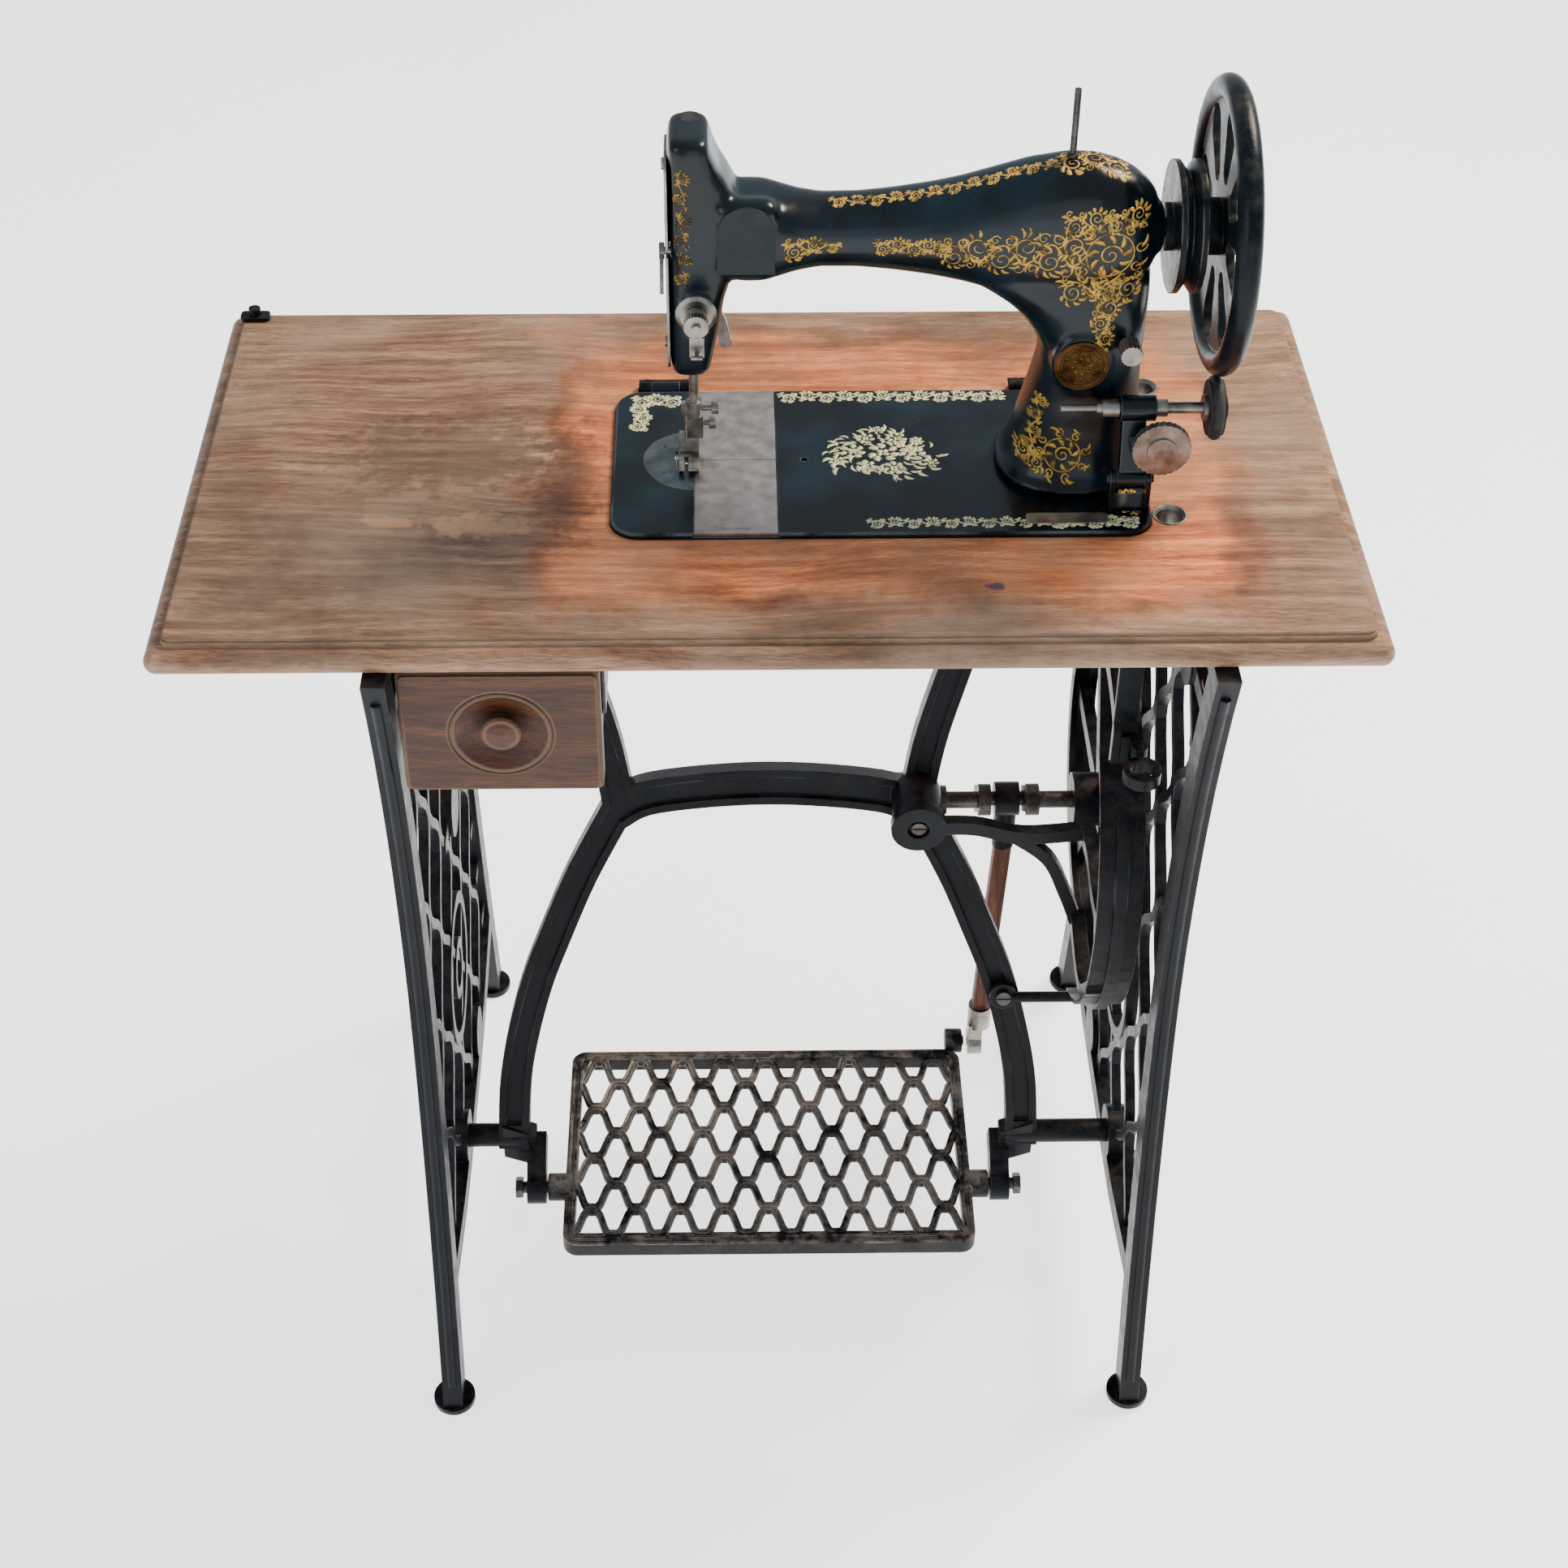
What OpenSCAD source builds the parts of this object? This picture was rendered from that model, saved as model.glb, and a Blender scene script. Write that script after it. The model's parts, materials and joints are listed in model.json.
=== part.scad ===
// Treadle sewing table: cast iron stand, wooden top with drawer, and a tilting sewing head.
// Millimetres, Z up, floor at Z = 0, the table top centred on X = 0 and Y = 0, front at -Y.

/* [Table] */
// length of the top along X
table_w = 815; // [790:1:850]
// depth of the top along Y
table_d = 425; // [415:1:440]
// height of the top face above the floor
table_h = 775; // [770:1:780]
// thickness of the top
table_t = 23; // [20:1:26]

/* [Stand] */
// thickness of a side frame rail along X
rail_t = 16; // [14:1:16]
// width of a lattice bar in the side frames
bar_w = 8; // [7:0.5:9]
// wave length of the lattice bars
bar_pitch = 126; // [110:2:140]
// diameter of a foot pad
pad_d = 34; // [30:1:36]

/* [Drive] */
// radius of the lower band wheel
wheel_r = 152; // [146:1:154]
// throw of the crank
throw = 28; // [24:1:28]
// length of the treadle plate along X
treadle_w = 344; // [336:1:346]
// depth of the treadle plate along Y
treadle_d = 218; // [210:1:222]

/* [Drawer] */
// width of the drawer front
drawer_w = 134; // [128:1:136]
// height of the drawer front
drawer_h = 102; // [96:1:104]
// length of the drawer front to back
drawer_l = 286; // [260:1:288]

/* [Head] */
// length of the bed along X
bed_w = 371; // [368:0.5:372]
// depth of the bed along Y
bed_d = 178; // [176:0.5:180]
// radius of the handwheel
hand_r = 99; // [95:0.5:100]
// diameter of the main shaft
shaft_d = 12; // [11:0.5:12]

/* [Hidden] */
$fn = 72;
iron = [0.10, 0.11, 0.13];
wood = [0.52, 0.34, 0.21];
steel = [0.70, 0.70, 0.68];
brass = [0.72, 0.56, 0.28];
rubber = [0.12, 0.12, 0.12];
under_z = table_h - table_t;
stand_x = 20;
stand_half = 286;
brace_x = 3;
brace_y = -60;
brace_z = 125;
brace_tilt = 17.4;
belt_x = 276;
crank_y = 46;
crank_z = 410;
pin_a = -40;
pin_y = crank_y + throw * cos(pin_a);
pin_z = crank_z + throw * sin(pin_a);
treadle_z = 92;
treadle_pivot_y = -88;
treadle_cy = -48;
bed_cx = 78;
bed_cy = -4.5;
bed_z = table_h + 4;
shaft_z = bed_z + 184;
hinge_y = 91;
hinge_z = table_h + 2;
needle_x = -50;
needle_y = -8;
presser_y = 10;
pillar_x = 221;
winder_y = -50;
tyre_r = 22;
winder_z = shaft_z - sqrt(pow(hand_r + tyre_r + 0.5, 2) - pow(bed_cy - winder_y, 2));
hole_front_y = -69;
hole_rear_y = 92;
drawer_x = -179;
drawer_z = under_z - 3 - drawer_h / 2;
drawer_y = -206;
runner_z = under_z - 50;

function unit_normal(a, b) = [a[1] - b[1], b[0] - a[0]] / norm(b - a);
function side_path(p, w) = [for (i = [0 : len(p) - 1])
  p[i] + w * unit_normal(p[max(i - 1, 0)], p[min(i + 1, len(p) - 1)])];
function turned(p) = [for (i = [len(p) - 1 : -1 : 0]) p[i]];
function stroke(p, w) = concat(side_path(p, w / 2), turned(side_path(p, -w / 2)));
function knot(p, i) = p[min(max(i, 0), len(p) - 1)];
function blend(a, b, c, d, t) = 0.5 * (2 * b + (c - a) * t
  + (2 * a - 5 * b + 4 * c - d) * t * t + (3 * b - a - 3 * c + d) * t * t * t);
function curve(p, n) = concat([for (i = [0 : len(p) - 2], j = [0 : n - 1])
  blend(knot(p, i - 1), p[i], p[i + 1], knot(p, i + 2), j / n)], [p[len(p) - 1]]);
function leg_y(z) = z > 450 ? 183 + 40 * pow((z - 450) / 302, 2.2)
  : 183 + 68 * pow((450 - z) / 450, 1.5);
function wave(c, a, s, e, pitch, n) = [for (i = [0 : n])
  let (t = s + (e - s) * i / n) [c + a * cos(360 * t / pitch), t]];
function arches(c, a, s, e, pitch, n) = [for (i = [0 : n])
  let (t = s + (e - s) * i / n, u = 360 * t / pitch) [c + a * (cos(u) - 0.15 * cos(3 * u)) / 0.85, t]];
function flip(p) = [for (q = p) [-q[0], q[1]]];
function brace_v(z) = (z - brace_z) / cos(brace_tilt);

module rod_x(d, x0, x1, y, z) translate([x0, y, z]) rotate([0, 90, 0]) cylinder(d = d, h = x1 - x0);
module rod_y(d, y0, y1, x, z) translate([x, y1, z]) rotate([90, 0, 0]) cylinder(d = d, h = y1 - y0);
module rod_z(d, z0, z1, x, y) translate([x, y, z0]) cylinder(d = d, h = z1 - z0);
module block(x0, x1, y0, y1, z0, z1) translate([x0, y0, z0]) cube([x1 - x0, y1 - y0, z1 - z0]);
module in_yz(x0, x1) translate([x0, 0, 0]) rotate([90, 0, 90]) linear_extrude(x1 - x0) children();
module in_xz(y0, y1) translate([0, y1, 0]) rotate([90, 0, 0]) linear_extrude(y1 - y0) children();
module spin_x(p) rotate([0, 90, 0]) rotate_extrude() polygon(p);
module rounded(w, d, r) {
  square([w - 2 * r, d], center = true);
  square([w, d - 2 * r], center = true);
  for (x = [-1, 1], y = [-1, 1]) translate([x * (w / 2 - r), y * (d / 2 - r)]) circle(r);
}
module slotted_head(d, h) difference() {
  cylinder(d = d, h = h);
  translate([-d, -0.6, h - 1]) cube([2 * d, 1.2, 2]);
}

// ---- stand ----
module rail_shape(w) {
  p = [for (i = [0 : 18]) let (z = (under_z + 8) * i / 18) [13 - leg_y(z), z]];
  intersection() {
    union() {
      polygon(stroke(p, w));
      polygon(stroke(flip(p), w));
    }
    translate([-300, 8]) square([600, under_z - 8]);
  }
}
module lattice_shape() {
  for (i = [-3 : 3])
    polygon(stroke(wave(46 * i, (i % 2 == 0 ? 1 : -1) * 20.5, 112, under_z - 8,
      bar_pitch, 48), bar_w));
  for (s = [-1, 1]) {
    polygon(stroke(curve([[s * 158, 448], [s * 170, 540], [s * 176, 600], [s * 190, 690],
      [s * 188, 745]], 6), bar_w));
    polygon(stroke(curve([[s * 158, 440], [s * 166, 360], [s * 172, 300], [s * 186, 230],
      [s * 206, 150]], 6), bar_w));
    for (z = [150, 214, 276, 640, 700]) translate([s * (leg_y(z) - 32), z])
      square([34, bar_w], center = true);
  }
}
module side_frame(out, in, bore) {
  lo = min(out, in);
  mid = (out + in) / 2;
  difference() {
    union() {
      in_yz(lo, lo + rail_t) rail_shape(25);
      in_yz(lo, lo + rail_t) translate([-214, under_z - 16]) square([428, 16]);
      in_yz(lo, lo + rail_t) polygon(stroke(curve([[-222, 128], [-120, 108], [-60, 104],
        [60, 104], [120, 108], [222, 128]], 6), 20));
      in_yz(mid - 4, mid + 4) lattice_shape();
      in_yz(mid - 5, mid + 5) difference() {
        translate([0, 268]) circle(64);
        translate([0, 268]) circle(54);
      }
      in_yz(mid - 5, mid + 5) difference() {
        translate([0, 268]) circle(26);
        translate([0, 268]) circle(17);
      }
      for (p = [[brace_y, brace_z + 2], [-brace_y, brace_z + 2], [118, 692], [-118, 692]])
        rod_x(44, lo, lo + rail_t, p[0], p[1]);
      rod_x(54, lo, lo + rail_t, crank_y, crank_z);
      in_yz(mid - 5, mid + 5) for (s = [-1, 1]) {
        polygon(stroke([[s * 118, 692], [s * (leg_y(692) - 14), 692]], 14));
        polygon(stroke([[s * 118, 692], [s * 40, 692]], 10));
      }
      in_yz(mid - 5, mid + 5) polygon(stroke([[-8, crank_z], [96, crank_z]], 12));
    }
    translate([out < in ? lo - 1 : lo + rail_t - 5, 0, 0]) in_yz(0, 6) intersection() {
      rail_shape(11);
      translate([-260, 24]) square([520, under_z - 60]);
    }
    for (p = [[brace_y, brace_z + 2], [118, 692]]) rod_x(10, lo - 1, lo + rail_t + 1, p[0], p[1]);
    if (bore) rod_x(14.1, lo - 1, lo + rail_t + 1, crank_y, crank_z);
    for (y = [-150, 150]) {
      rod_z(6.2, under_z - 30, under_z + 1, mid, y);
      rod_z(12.6, under_z - 30, under_z - 16, mid, y);
    }
    for (y = [-1, 1]) rod_z(8, 0, 20, mid, y * (leg_y(8) - 13));
  }
}
module side_frame_left() color(iron)
  side_frame(stand_x - stand_half, stand_x - stand_half + rail_t, false);
module side_frame_right() color(iron)
  side_frame(stand_x + stand_half, stand_x + stand_half - rail_t, true);
module foot_pads() color(iron)
  for (s = [-1, 1], y = [-1, 1]) translate([stand_x + s * (stand_half - rail_t / 2),
    y * (leg_y(8) - 13), 0]) {
    cylinder(d1 = pad_d - 4, d2 = pad_d, h = 3);
    translate([0, 0, 3]) cylinder(d = pad_d, h = 5);
    cylinder(d = 8, h = 20);
  }
module brace_shape(w) {
  polygon(stroke(curve([[-122, brace_v(416)], [-90, brace_v(430)], [0, brace_v(437)],
    [90, brace_v(430)], [122, brace_v(416)]], 6), w + 4));
  for (s = [-1, 1]) {
    low = [[s * 120, brace_v(420)], [s * 150, brace_v(365)], [s * 172, brace_v(315)],
      [s * 190, brace_v(270)], [s * 204, brace_v(220)], [s * 212, brace_v(175)],
      [s * 215, brace_v(118)]];
    polygon(stroke(curve(low, 4), w));
    up = [[s * 118, brace_v(416)], [s * 128, brace_v(470)], [s * 143, brace_v(520)],
      [s * 168, brace_v(590)], [s * 200, brace_v(650)], [s * 240, brace_v(698)]];
    polygon(stroke(curve(up, 4), w));
  }
}
module brace_place() translate([brace_x, brace_y, brace_z]) rotate([90 - brace_tilt, 0, 0]) children();
module rear_brace() color(iron) difference() {
  union() {
    brace_place() difference() {
      translate([0, 0, -9]) linear_extrude(18) brace_shape(26);
      for (z = [-10, 5]) translate([0, 0, z]) linear_extrude(5) intersection() {
        brace_shape(13);
        translate([-224, brace_v(140)]) square([448, brace_v(690) - brace_v(140)]);
      }
    }
    rod_x(46, 106, 140, crank_y, crank_z);
    block(106, 140, 24, crank_y, crank_z - 20, crank_z + 20);
    rod_y(40, -2, 34, 122, 430);
    rod_x(20, stand_x - stand_half + rail_t, -200, brace_y, brace_z + 2);
    rod_x(20, 206, stand_x + stand_half - rail_t, brace_y, brace_z + 2);
    rod_x(22, stand_x - stand_half + rail_t, -222, 118, 692);
    rod_x(22, 226, stand_x + stand_half - rail_t, 118, 692);
    for (s = [-1, 1]) {
      in_xz(brace_y - 8, brace_y + 8) polygon([[brace_x + s * 224, 145],
        [brace_x + s * 224, 108], [brace_x + s * 196, 96], [brace_x + s * 196, 132]]);
      in_yz(brace_x + s * 196 - 8, brace_x + s * 196 + 8) polygon(stroke([[brace_y + 8, 118],
        [brace_y - 8, 110], [treadle_pivot_y, treadle_z]], 22));
      rod_x(28, brace_x + s * 196 - 8, brace_x + s * 196 + 8, treadle_pivot_y, treadle_z);
    }
  }
  rod_x(14.1, 100, 150, crank_y, crank_z);
  rod_x(27, 140.05, 200, crank_y, crank_z);
  rod_y(6, -4, 20, 122, 430);
  guard_place() translate([0, 0, -12]) cylinder(d = 6, h = 14);
  for (s = [-1, 1]) rod_x(10, brace_x + s * 196 - 10, brace_x + s * 196 + 10,
    treadle_pivot_y, treadle_z);
  for (p = [[brace_y, brace_z + 2], [118, 692]]) {
    rod_x(10, stand_x - stand_half, stand_x - stand_half + rail_t + 14, p[0], p[1]);
    rod_x(10, stand_x + stand_half - rail_t - 14, stand_x + stand_half, p[0], p[1]);
  }
}
module brace_bolts() color(iron) for (p = [[brace_y, brace_z + 2], [118, 692]], s = [-1, 1])
  translate([stand_x + s * stand_half, p[0], p[1]]) rotate([0, s * 90, 0]) {
    cylinder(d = 18, h = 5, $fn = 6);
    translate([0, 0, -rail_t - 14]) cylinder(d = 10, h = rail_t + 15);
  }
module treadle_pivot_screws() color(steel) for (s = [-1, 1])
  translate([brace_x, treadle_pivot_y, treadle_z]) rotate([0, s * 90, 0]) {
    translate([0, 0, 164]) cylinder(d = 10, h = 44);
    translate([0, 0, 208]) cylinder(d = 18, h = 6, $fn = 6);
  }
module guard_ring(r0, r1, a0, a1) translate([crank_y, crank_z]) polygon(concat(
  [for (i = [0 : 20]) let (a = a0 + (a1 - a0) * i / 20) r1 * [cos(a), sin(a)]],
  [for (i = [20 : -1 : 0]) let (a = a0 + (a1 - a0) * i / 20) r0 * [cos(a), sin(a)]]));
module guard_place() brace_place() translate([194, brace_v(258), 9]) children();
module dress_guard() color(iron) difference() {
  union() {
    in_yz(250, 284) guard_ring(wheel_r + 10, wheel_r + 14, 128, 244);
    in_yz(262, 272) guard_ring(wheel_r + 13, wheel_r + 18, 142, 240);
    in_yz(258, 276) polygon([[-58, 534], [-50, 534], [-50, under_z - 3], [-26, under_z - 3],
      [-26, under_z], [-54, under_z], [-54, 576], [-58, 570]]);
    in_xz(-12, -2) polygon(stroke(curve([[122, 430], [165, 430], [205, 420], [256, 424]], 6), 12));
    in_xz(-12, -2) polygon(stroke(curve([[196, 422], [226, 396], [242, 360], [254, 326]], 6), 10));
    in_yz(250, 262) polygon(stroke(curve([[-3, 424], [-50, 434], [-86, 428], [-118, 432]], 5), 10));
    in_yz(250, 262) polygon(stroke(curve([[-3, 330], [-46, 318], [-80, 320], [-108, 350]], 5), 10));
    rod_y(44, -12, -2, 122, 430);
    rod_x(9, 204, 262, -33, 262);
    guard_place() cylinder(d = 22, h = 7);
  }
  rod_y(6, -14, -1, 122, 430);
  rod_y(18, -13, -8, 122, 430);
  guard_place() translate([0, 0, -1]) cylinder(d = 6, h = 10);
  rod_z(4, under_z - 4, under_z + 1, 267, -34);
}
module guard_screws() {
  rod_y(6, -8, 18, 122, 430);
  translate([122, -8, 430]) rotate([90, 0, 0]) slotted_head(12, 3);
  guard_place() translate([0, 0, -12]) cylinder(d = 6, h = 20);
  guard_place() translate([0, 0, 7]) slotted_head(12, 4);
  rod_z(4, under_z - 4, under_z + 10, 267, -34);
  translate([267, -34, under_z - 3]) rotate([180, 0, 0]) slotted_head(9, 3);
}
module table_screws() color(iron) for (s = [-1, 1], y = [-150, 150])
  translate([stand_x + s * (stand_half - rail_t / 2), y, under_z - 16]) {
    cylinder(d = 6, h = 29);
    rotate([180, 0, 0]) slotted_head(12, 4);
  }
module shifter_bracket() color(iron) {
  block(264, 276, -62, -58, 546, 568);
  for (z = [546, 564]) {
    block(270, 276, -72, -61, z, z + 4);
    rod_z(12, z, z + 4, 276, -72);
  }
  rod_z(5, 544, 570, 276, -72);
}
module belt_shifter() color(iron) difference() {
  union() {
    rod_z(12, 550.4, 563.6, 276, -72);
    block(273, 279, -80, -72, 552, 562);
    difference() {
      rod_z(28, 552, 562, 276, -91);
      rod_z(18, 550, 565, 276, -91);
    }
  }
  rod_z(5.1, 548, 566, 276, -72);
}

// ---- top ----
module table_top() color(wood) difference() {
  union() {
    translate([0, 0, under_z]) linear_extrude(17) rounded(table_w - 17, table_d - 17, 6);
    for (s = [-1, 1]) {
      rod_x(17, -table_w / 2 + 8.5, table_w / 2 - 8.5, s * (table_d / 2 - 8.5), under_z + 8.5);
      rod_y(17, -table_d / 2 + 8.5, table_d / 2 - 8.5, s * (table_w / 2 - 8.5), under_z + 8.5);
      for (t = [-1, 1]) translate([s * (table_w / 2 - 8.5), t * (table_d / 2 - 8.5),
        under_z + 8.5]) sphere(d = 17);
    }
    translate([0, 0, under_z + 16]) linear_extrude(5) rounded(table_w - 22, table_d - 22, 7);
    translate([0, 0, under_z + 20]) linear_extrude(table_t - 20)
      rounded(table_w - 25, table_d - 25, 6);
  }
  translate([bed_cx, bed_cy, table_h - 8]) linear_extrude(20) rounded(bed_w + 1.2, bed_d + 1.2, 20.6);
  translate([bed_cx, bed_cy, under_z - 1]) linear_extrude(40) rounded(bed_w - 16, bed_d - 16, 12);
  rod_z(24, under_z - 1, table_h + 1, belt_x + 1, hole_front_y);
  rod_z(24, under_z - 1, table_h + 1, belt_x + 1, hole_rear_y);
  for (x = [bed_cx - 150, bed_cx + 122]) {
    block(x - 20, x + 20, 84, 106, table_h - 5, table_h + 1);
    for (k = [-14, 14]) rod_z(4, table_h - 14, table_h, x + k, 101.5);
  }
  for (s = [-1, 1], y = [-150, 150])
    rod_z(6, under_z - 1, under_z + 13, stand_x + s * (stand_half - rail_t / 2), y);
  rod_z(4, under_z - 1, under_z + 10, 267, -34);
  for (s = [-1, 1], y = [-150, 0])
    rod_z(3, under_z - 1, under_z + 10, drawer_x + s * 64.2, y);
  for (x = [-396, -386]) rod_z(3, table_h - 10, table_h + 1, x + 4, 196);
}
module belt_hole_bushes() color(steel) for (y = [hole_front_y, hole_rear_y])
  translate([belt_x + 1, y, under_z]) difference() {
    cylinder(d = 24, h = table_t + 0.6);
    translate([0, 0, -1]) cylinder(d = 18, h = table_t + 3);
    translate([0, 0, table_t - 1.4]) cylinder(d1 = 18, d2 = 22, h = 2.1);
  }
module hinge_leaves() color(iron) for (x = [bed_cx - 150, bed_cx + 122]) difference() {
  union() {
    block(x - 19.5, x + 19.5, 97, 105.5, table_h - 5, table_h - 0.4);
    for (k = [-15, 15]) {
      rod_x(10, x + k - 4, x + k + 4, hinge_y, hinge_z);
      block(x + k - 4, x + k + 4, hinge_y, 98, table_h - 4.5, table_h + 1);
    }
    rod_x(5, x - 19.5, x + 19.5, hinge_y, hinge_z);
  }
  for (k = [-14, 14]) rod_z(4, table_h - 6, table_h + 5, x + k, 101.5);
}
module hinge_screws() for (x = [bed_cx - 150, bed_cx + 122], k = [-14, 14]) {
  rod_z(4, table_h - 13, table_h - 0.4, x + k, 101.5);
  translate([x + k, 101.5, table_h - 0.4]) slotted_head(6, 2);
}
module corner_catch() color(iron) {
  translate([-387, 196, table_h]) linear_extrude(3) rounded(22, 12, 3);
  rod_z(9, table_h + 2, table_h + 9, -387, 196);
  for (x = [-396, -386]) rod_z(3, table_h - 9, table_h + 0.5, x + 4, 196);
}

// ---- drawer ----
module drawer_runners() color(steel) for (s = [-1, 1]) difference() {
  union() {
    translate([drawer_x + s * 68.5, 0, 0]) block(-1, 1, -188, 78, runner_z - 2, under_z);
    translate([drawer_x + s * 64.5, 0, 0]) block(-4, 4, -188, 78, runner_z - 2, runner_z);
    for (y = [-150, 0]) translate([drawer_x + s * 64.5, y, 0])
      block(-4, 4, -12, 12, under_z - 2, under_z);
  }
  for (y = [-150, 0]) rod_z(3.2, under_z - 3, under_z + 1, drawer_x + s * 64.2, y);
}
module runner_screws() for (s = [-1, 1], y = [-150, 0])
  translate([drawer_x + s * 64.2, y, under_z - 2]) {
    cylinder(d = 3, h = 11);
    rotate([180, 0, 0]) slotted_head(6, 0.8);
  }
module small_screws() color(steel) {
  guard_screws();
  hinge_screws();
  runner_screws();
}
module drawer_front() color(wood) difference() {
  translate([drawer_x, drawer_y + 18, drawer_z]) rotate([90, 0, 0]) {
    linear_extrude(15) rounded(drawer_w, drawer_h, 4);
    translate([0, 0, 15]) linear_extrude(3) rounded(drawer_w - 4, drawer_h - 4, 4);
  }
  translate([drawer_x, drawer_y - 36, drawer_z]) sphere(r = 48, $fn = 120);
  rod_y(10, drawer_y - 1, drawer_y + 19, drawer_x, drawer_z);
  translate([drawer_x, drawer_y - 0.01, drawer_z]) rotate([-90, 0, 0]) difference() {
    cylinder(d = 71, h = 1.2);
    translate([0, 0, -1]) cylinder(d = 67.5, h = 4);
  }
}
module drawer_knob() color(wood) translate([drawer_x, 0, drawer_z]) rotate([90, 0, 0]) {
  translate([0, 0, -drawer_y - 16]) cylinder(d = 10, h = 6);
  translate([0, 0, -drawer_y - 11]) cylinder(d = 10, h = 3);
  translate([0, 0, -drawer_y - 10.9]) cylinder(d1 = 19, d2 = 17, h = 3.9);
  translate([0, 0, -drawer_y - 7]) cylinder(d1 = 17, d2 = 28, h = 5);
  translate([0, 0, -drawer_y - 2]) cylinder(d = 28, h = 3);
  translate([0, 0, -drawer_y + 1]) cylinder(d1 = 28, d2 = 20, h = 2);
}
module drawer_sides() color(wood) for (s = [-1, 1]) difference() {
  translate([drawer_x + s * 59, 0, 0]) block(-5, 5, drawer_y + 18, drawer_y + drawer_l,
    drawer_z - drawer_h / 2 + 1, under_z - 5);
  translate([drawer_x + s * 63.3, 0, 0]) block(-3.3, 3.3, drawer_y + 17,
    drawer_y + drawer_l + 1, runner_z - 2.6, runner_z + 0.4);
}
module drawer_back() color(wood) block(drawer_x - 54, drawer_x + 54, drawer_y + drawer_l - 10,
  drawer_y + drawer_l, drawer_z - drawer_h / 2 + 7, under_z - 12);
module drawer_bottom() color(wood) block(drawer_x - 54, drawer_x + 54, drawer_y + 18,
  drawer_y + drawer_l, drawer_z - drawer_h / 2 + 1, drawer_z - drawer_h / 2 + 7);

// ---- treadle and drive ----
module treadle_plate() color(iron) difference() {
  union() {
    translate([brace_x, treadle_cy, treadle_z - 7]) linear_extrude(15) difference() {
      rounded(treadle_w, treadle_d, 8);
      translate([0, 3, 0]) rounded(treadle_w - 18, treadle_d - 24, 6);
    }
    translate([brace_x, treadle_cy + 3, treadle_z]) linear_extrude(6) rotate(-90)
      for (i = [-3 : 3]) polygon(stroke(arches(28 * i, (i % 2 == 0 ? 1 : -1) * 12,
        -treadle_w / 2 + 5, treadle_w / 2 - 5, (treadle_w - 10) / 9, 108), 5.6));
    for (s = [-1, 1]) translate([brace_x + s * (treadle_w / 2 + 4), 0, 0])
      rod_x(24, -11, 11, treadle_pivot_y, treadle_z);
    rod_x(22, brace_x + treadle_w / 2 - 12, brace_x + treadle_w / 2 + 3, pin_y, treadle_z + 10);
    rod_x(9, brace_x + treadle_w / 2, brace_x + treadle_w / 2 + 6, pin_y, treadle_z + 10);
  }
  rod_x(10.1, brace_x - 190, brace_x + 190, treadle_pivot_y, treadle_z);
}
module band_wheel() color(iron) difference() {
  union() {
    translate([belt_x, crank_y, crank_z]) rotate([0, 90, 0]) rotate_extrude()
      polygon([[wheel_r - 14, -10], [wheel_r, -10], [wheel_r, -6], [wheel_r - 4, 0],
        [wheel_r, 6], [wheel_r, 10], [wheel_r - 14, 10], [wheel_r - 10, 4], [wheel_r - 10, -4]]);
    rod_x(44, 250, 286, crank_y, crank_z);
    for (k = [0 : 5]) translate([belt_x, crank_y, crank_z]) rotate([k * 60, 0, 0])
      in_yz(-5, 5) polygon([[16, -9], [wheel_r - 9, -6], [wheel_r - 9, 6], [16, 9]]);
  }
  rod_x(14, 240, 290, crank_y, crank_z);
}
module crank_web(x0, x1) in_yz(x0, x1) {
  polygon(stroke([[crank_y, crank_z], [pin_y, pin_z]], 20));
  translate([crank_y, crank_z]) circle(13);
  translate([pin_y, pin_z]) circle(11);
}
module crankshaft() color(steel) {
  rod_x(14, 104, 178, crank_y, crank_z);
  crank_web(174, 184);
  rod_x(12, 180, 216, pin_y, pin_z);
  crank_web(213, 223);
  rod_x(14, 218, 308, crank_y, crank_z);
  rod_x(24, 140.6, 148, crank_y, crank_z);
}
module pitman_bearing() color(iron) difference() {
  union() {
    rod_x(28, 190, 210, pin_y, pin_z);
    rod_z(18, pin_z - 50, pin_z - 10, 200, pin_y);
  }
  rod_x(12.1, 180, 216, pin_y, pin_z);
  rod_z(10, pin_z - 52, pin_z - 22, 200, pin_y);
}
module pitman_socket() color(steel) difference() {
  union() {
    rod_x(24, 183, 195, pin_y, treadle_z + 10);
    block(183, 195, pin_y - 8, pin_y + 8, treadle_z + 10, treadle_z + 36);
    rod_z(20, treadle_z + 32, treadle_z + 56, 192, pin_y);
  }
  rod_x(10, 180, 200, pin_y, treadle_z + 10);
  rod_z(10, treadle_z + 36, treadle_z + 58, 192, pin_y);
}
module pitman_rod() color(wood) {
  rod_z(10, treadle_z + 36, treadle_z + 58, 192, pin_y);
  rod_z(10, pin_z - 52, pin_z - 22, 200, pin_y);
  in_xz(pin_y - 6, pin_y + 6) polygon([[185, treadle_z + 56], [199, treadle_z + 56],
    [207, pin_z - 50], [193, pin_z - 50]]);
}

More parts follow.
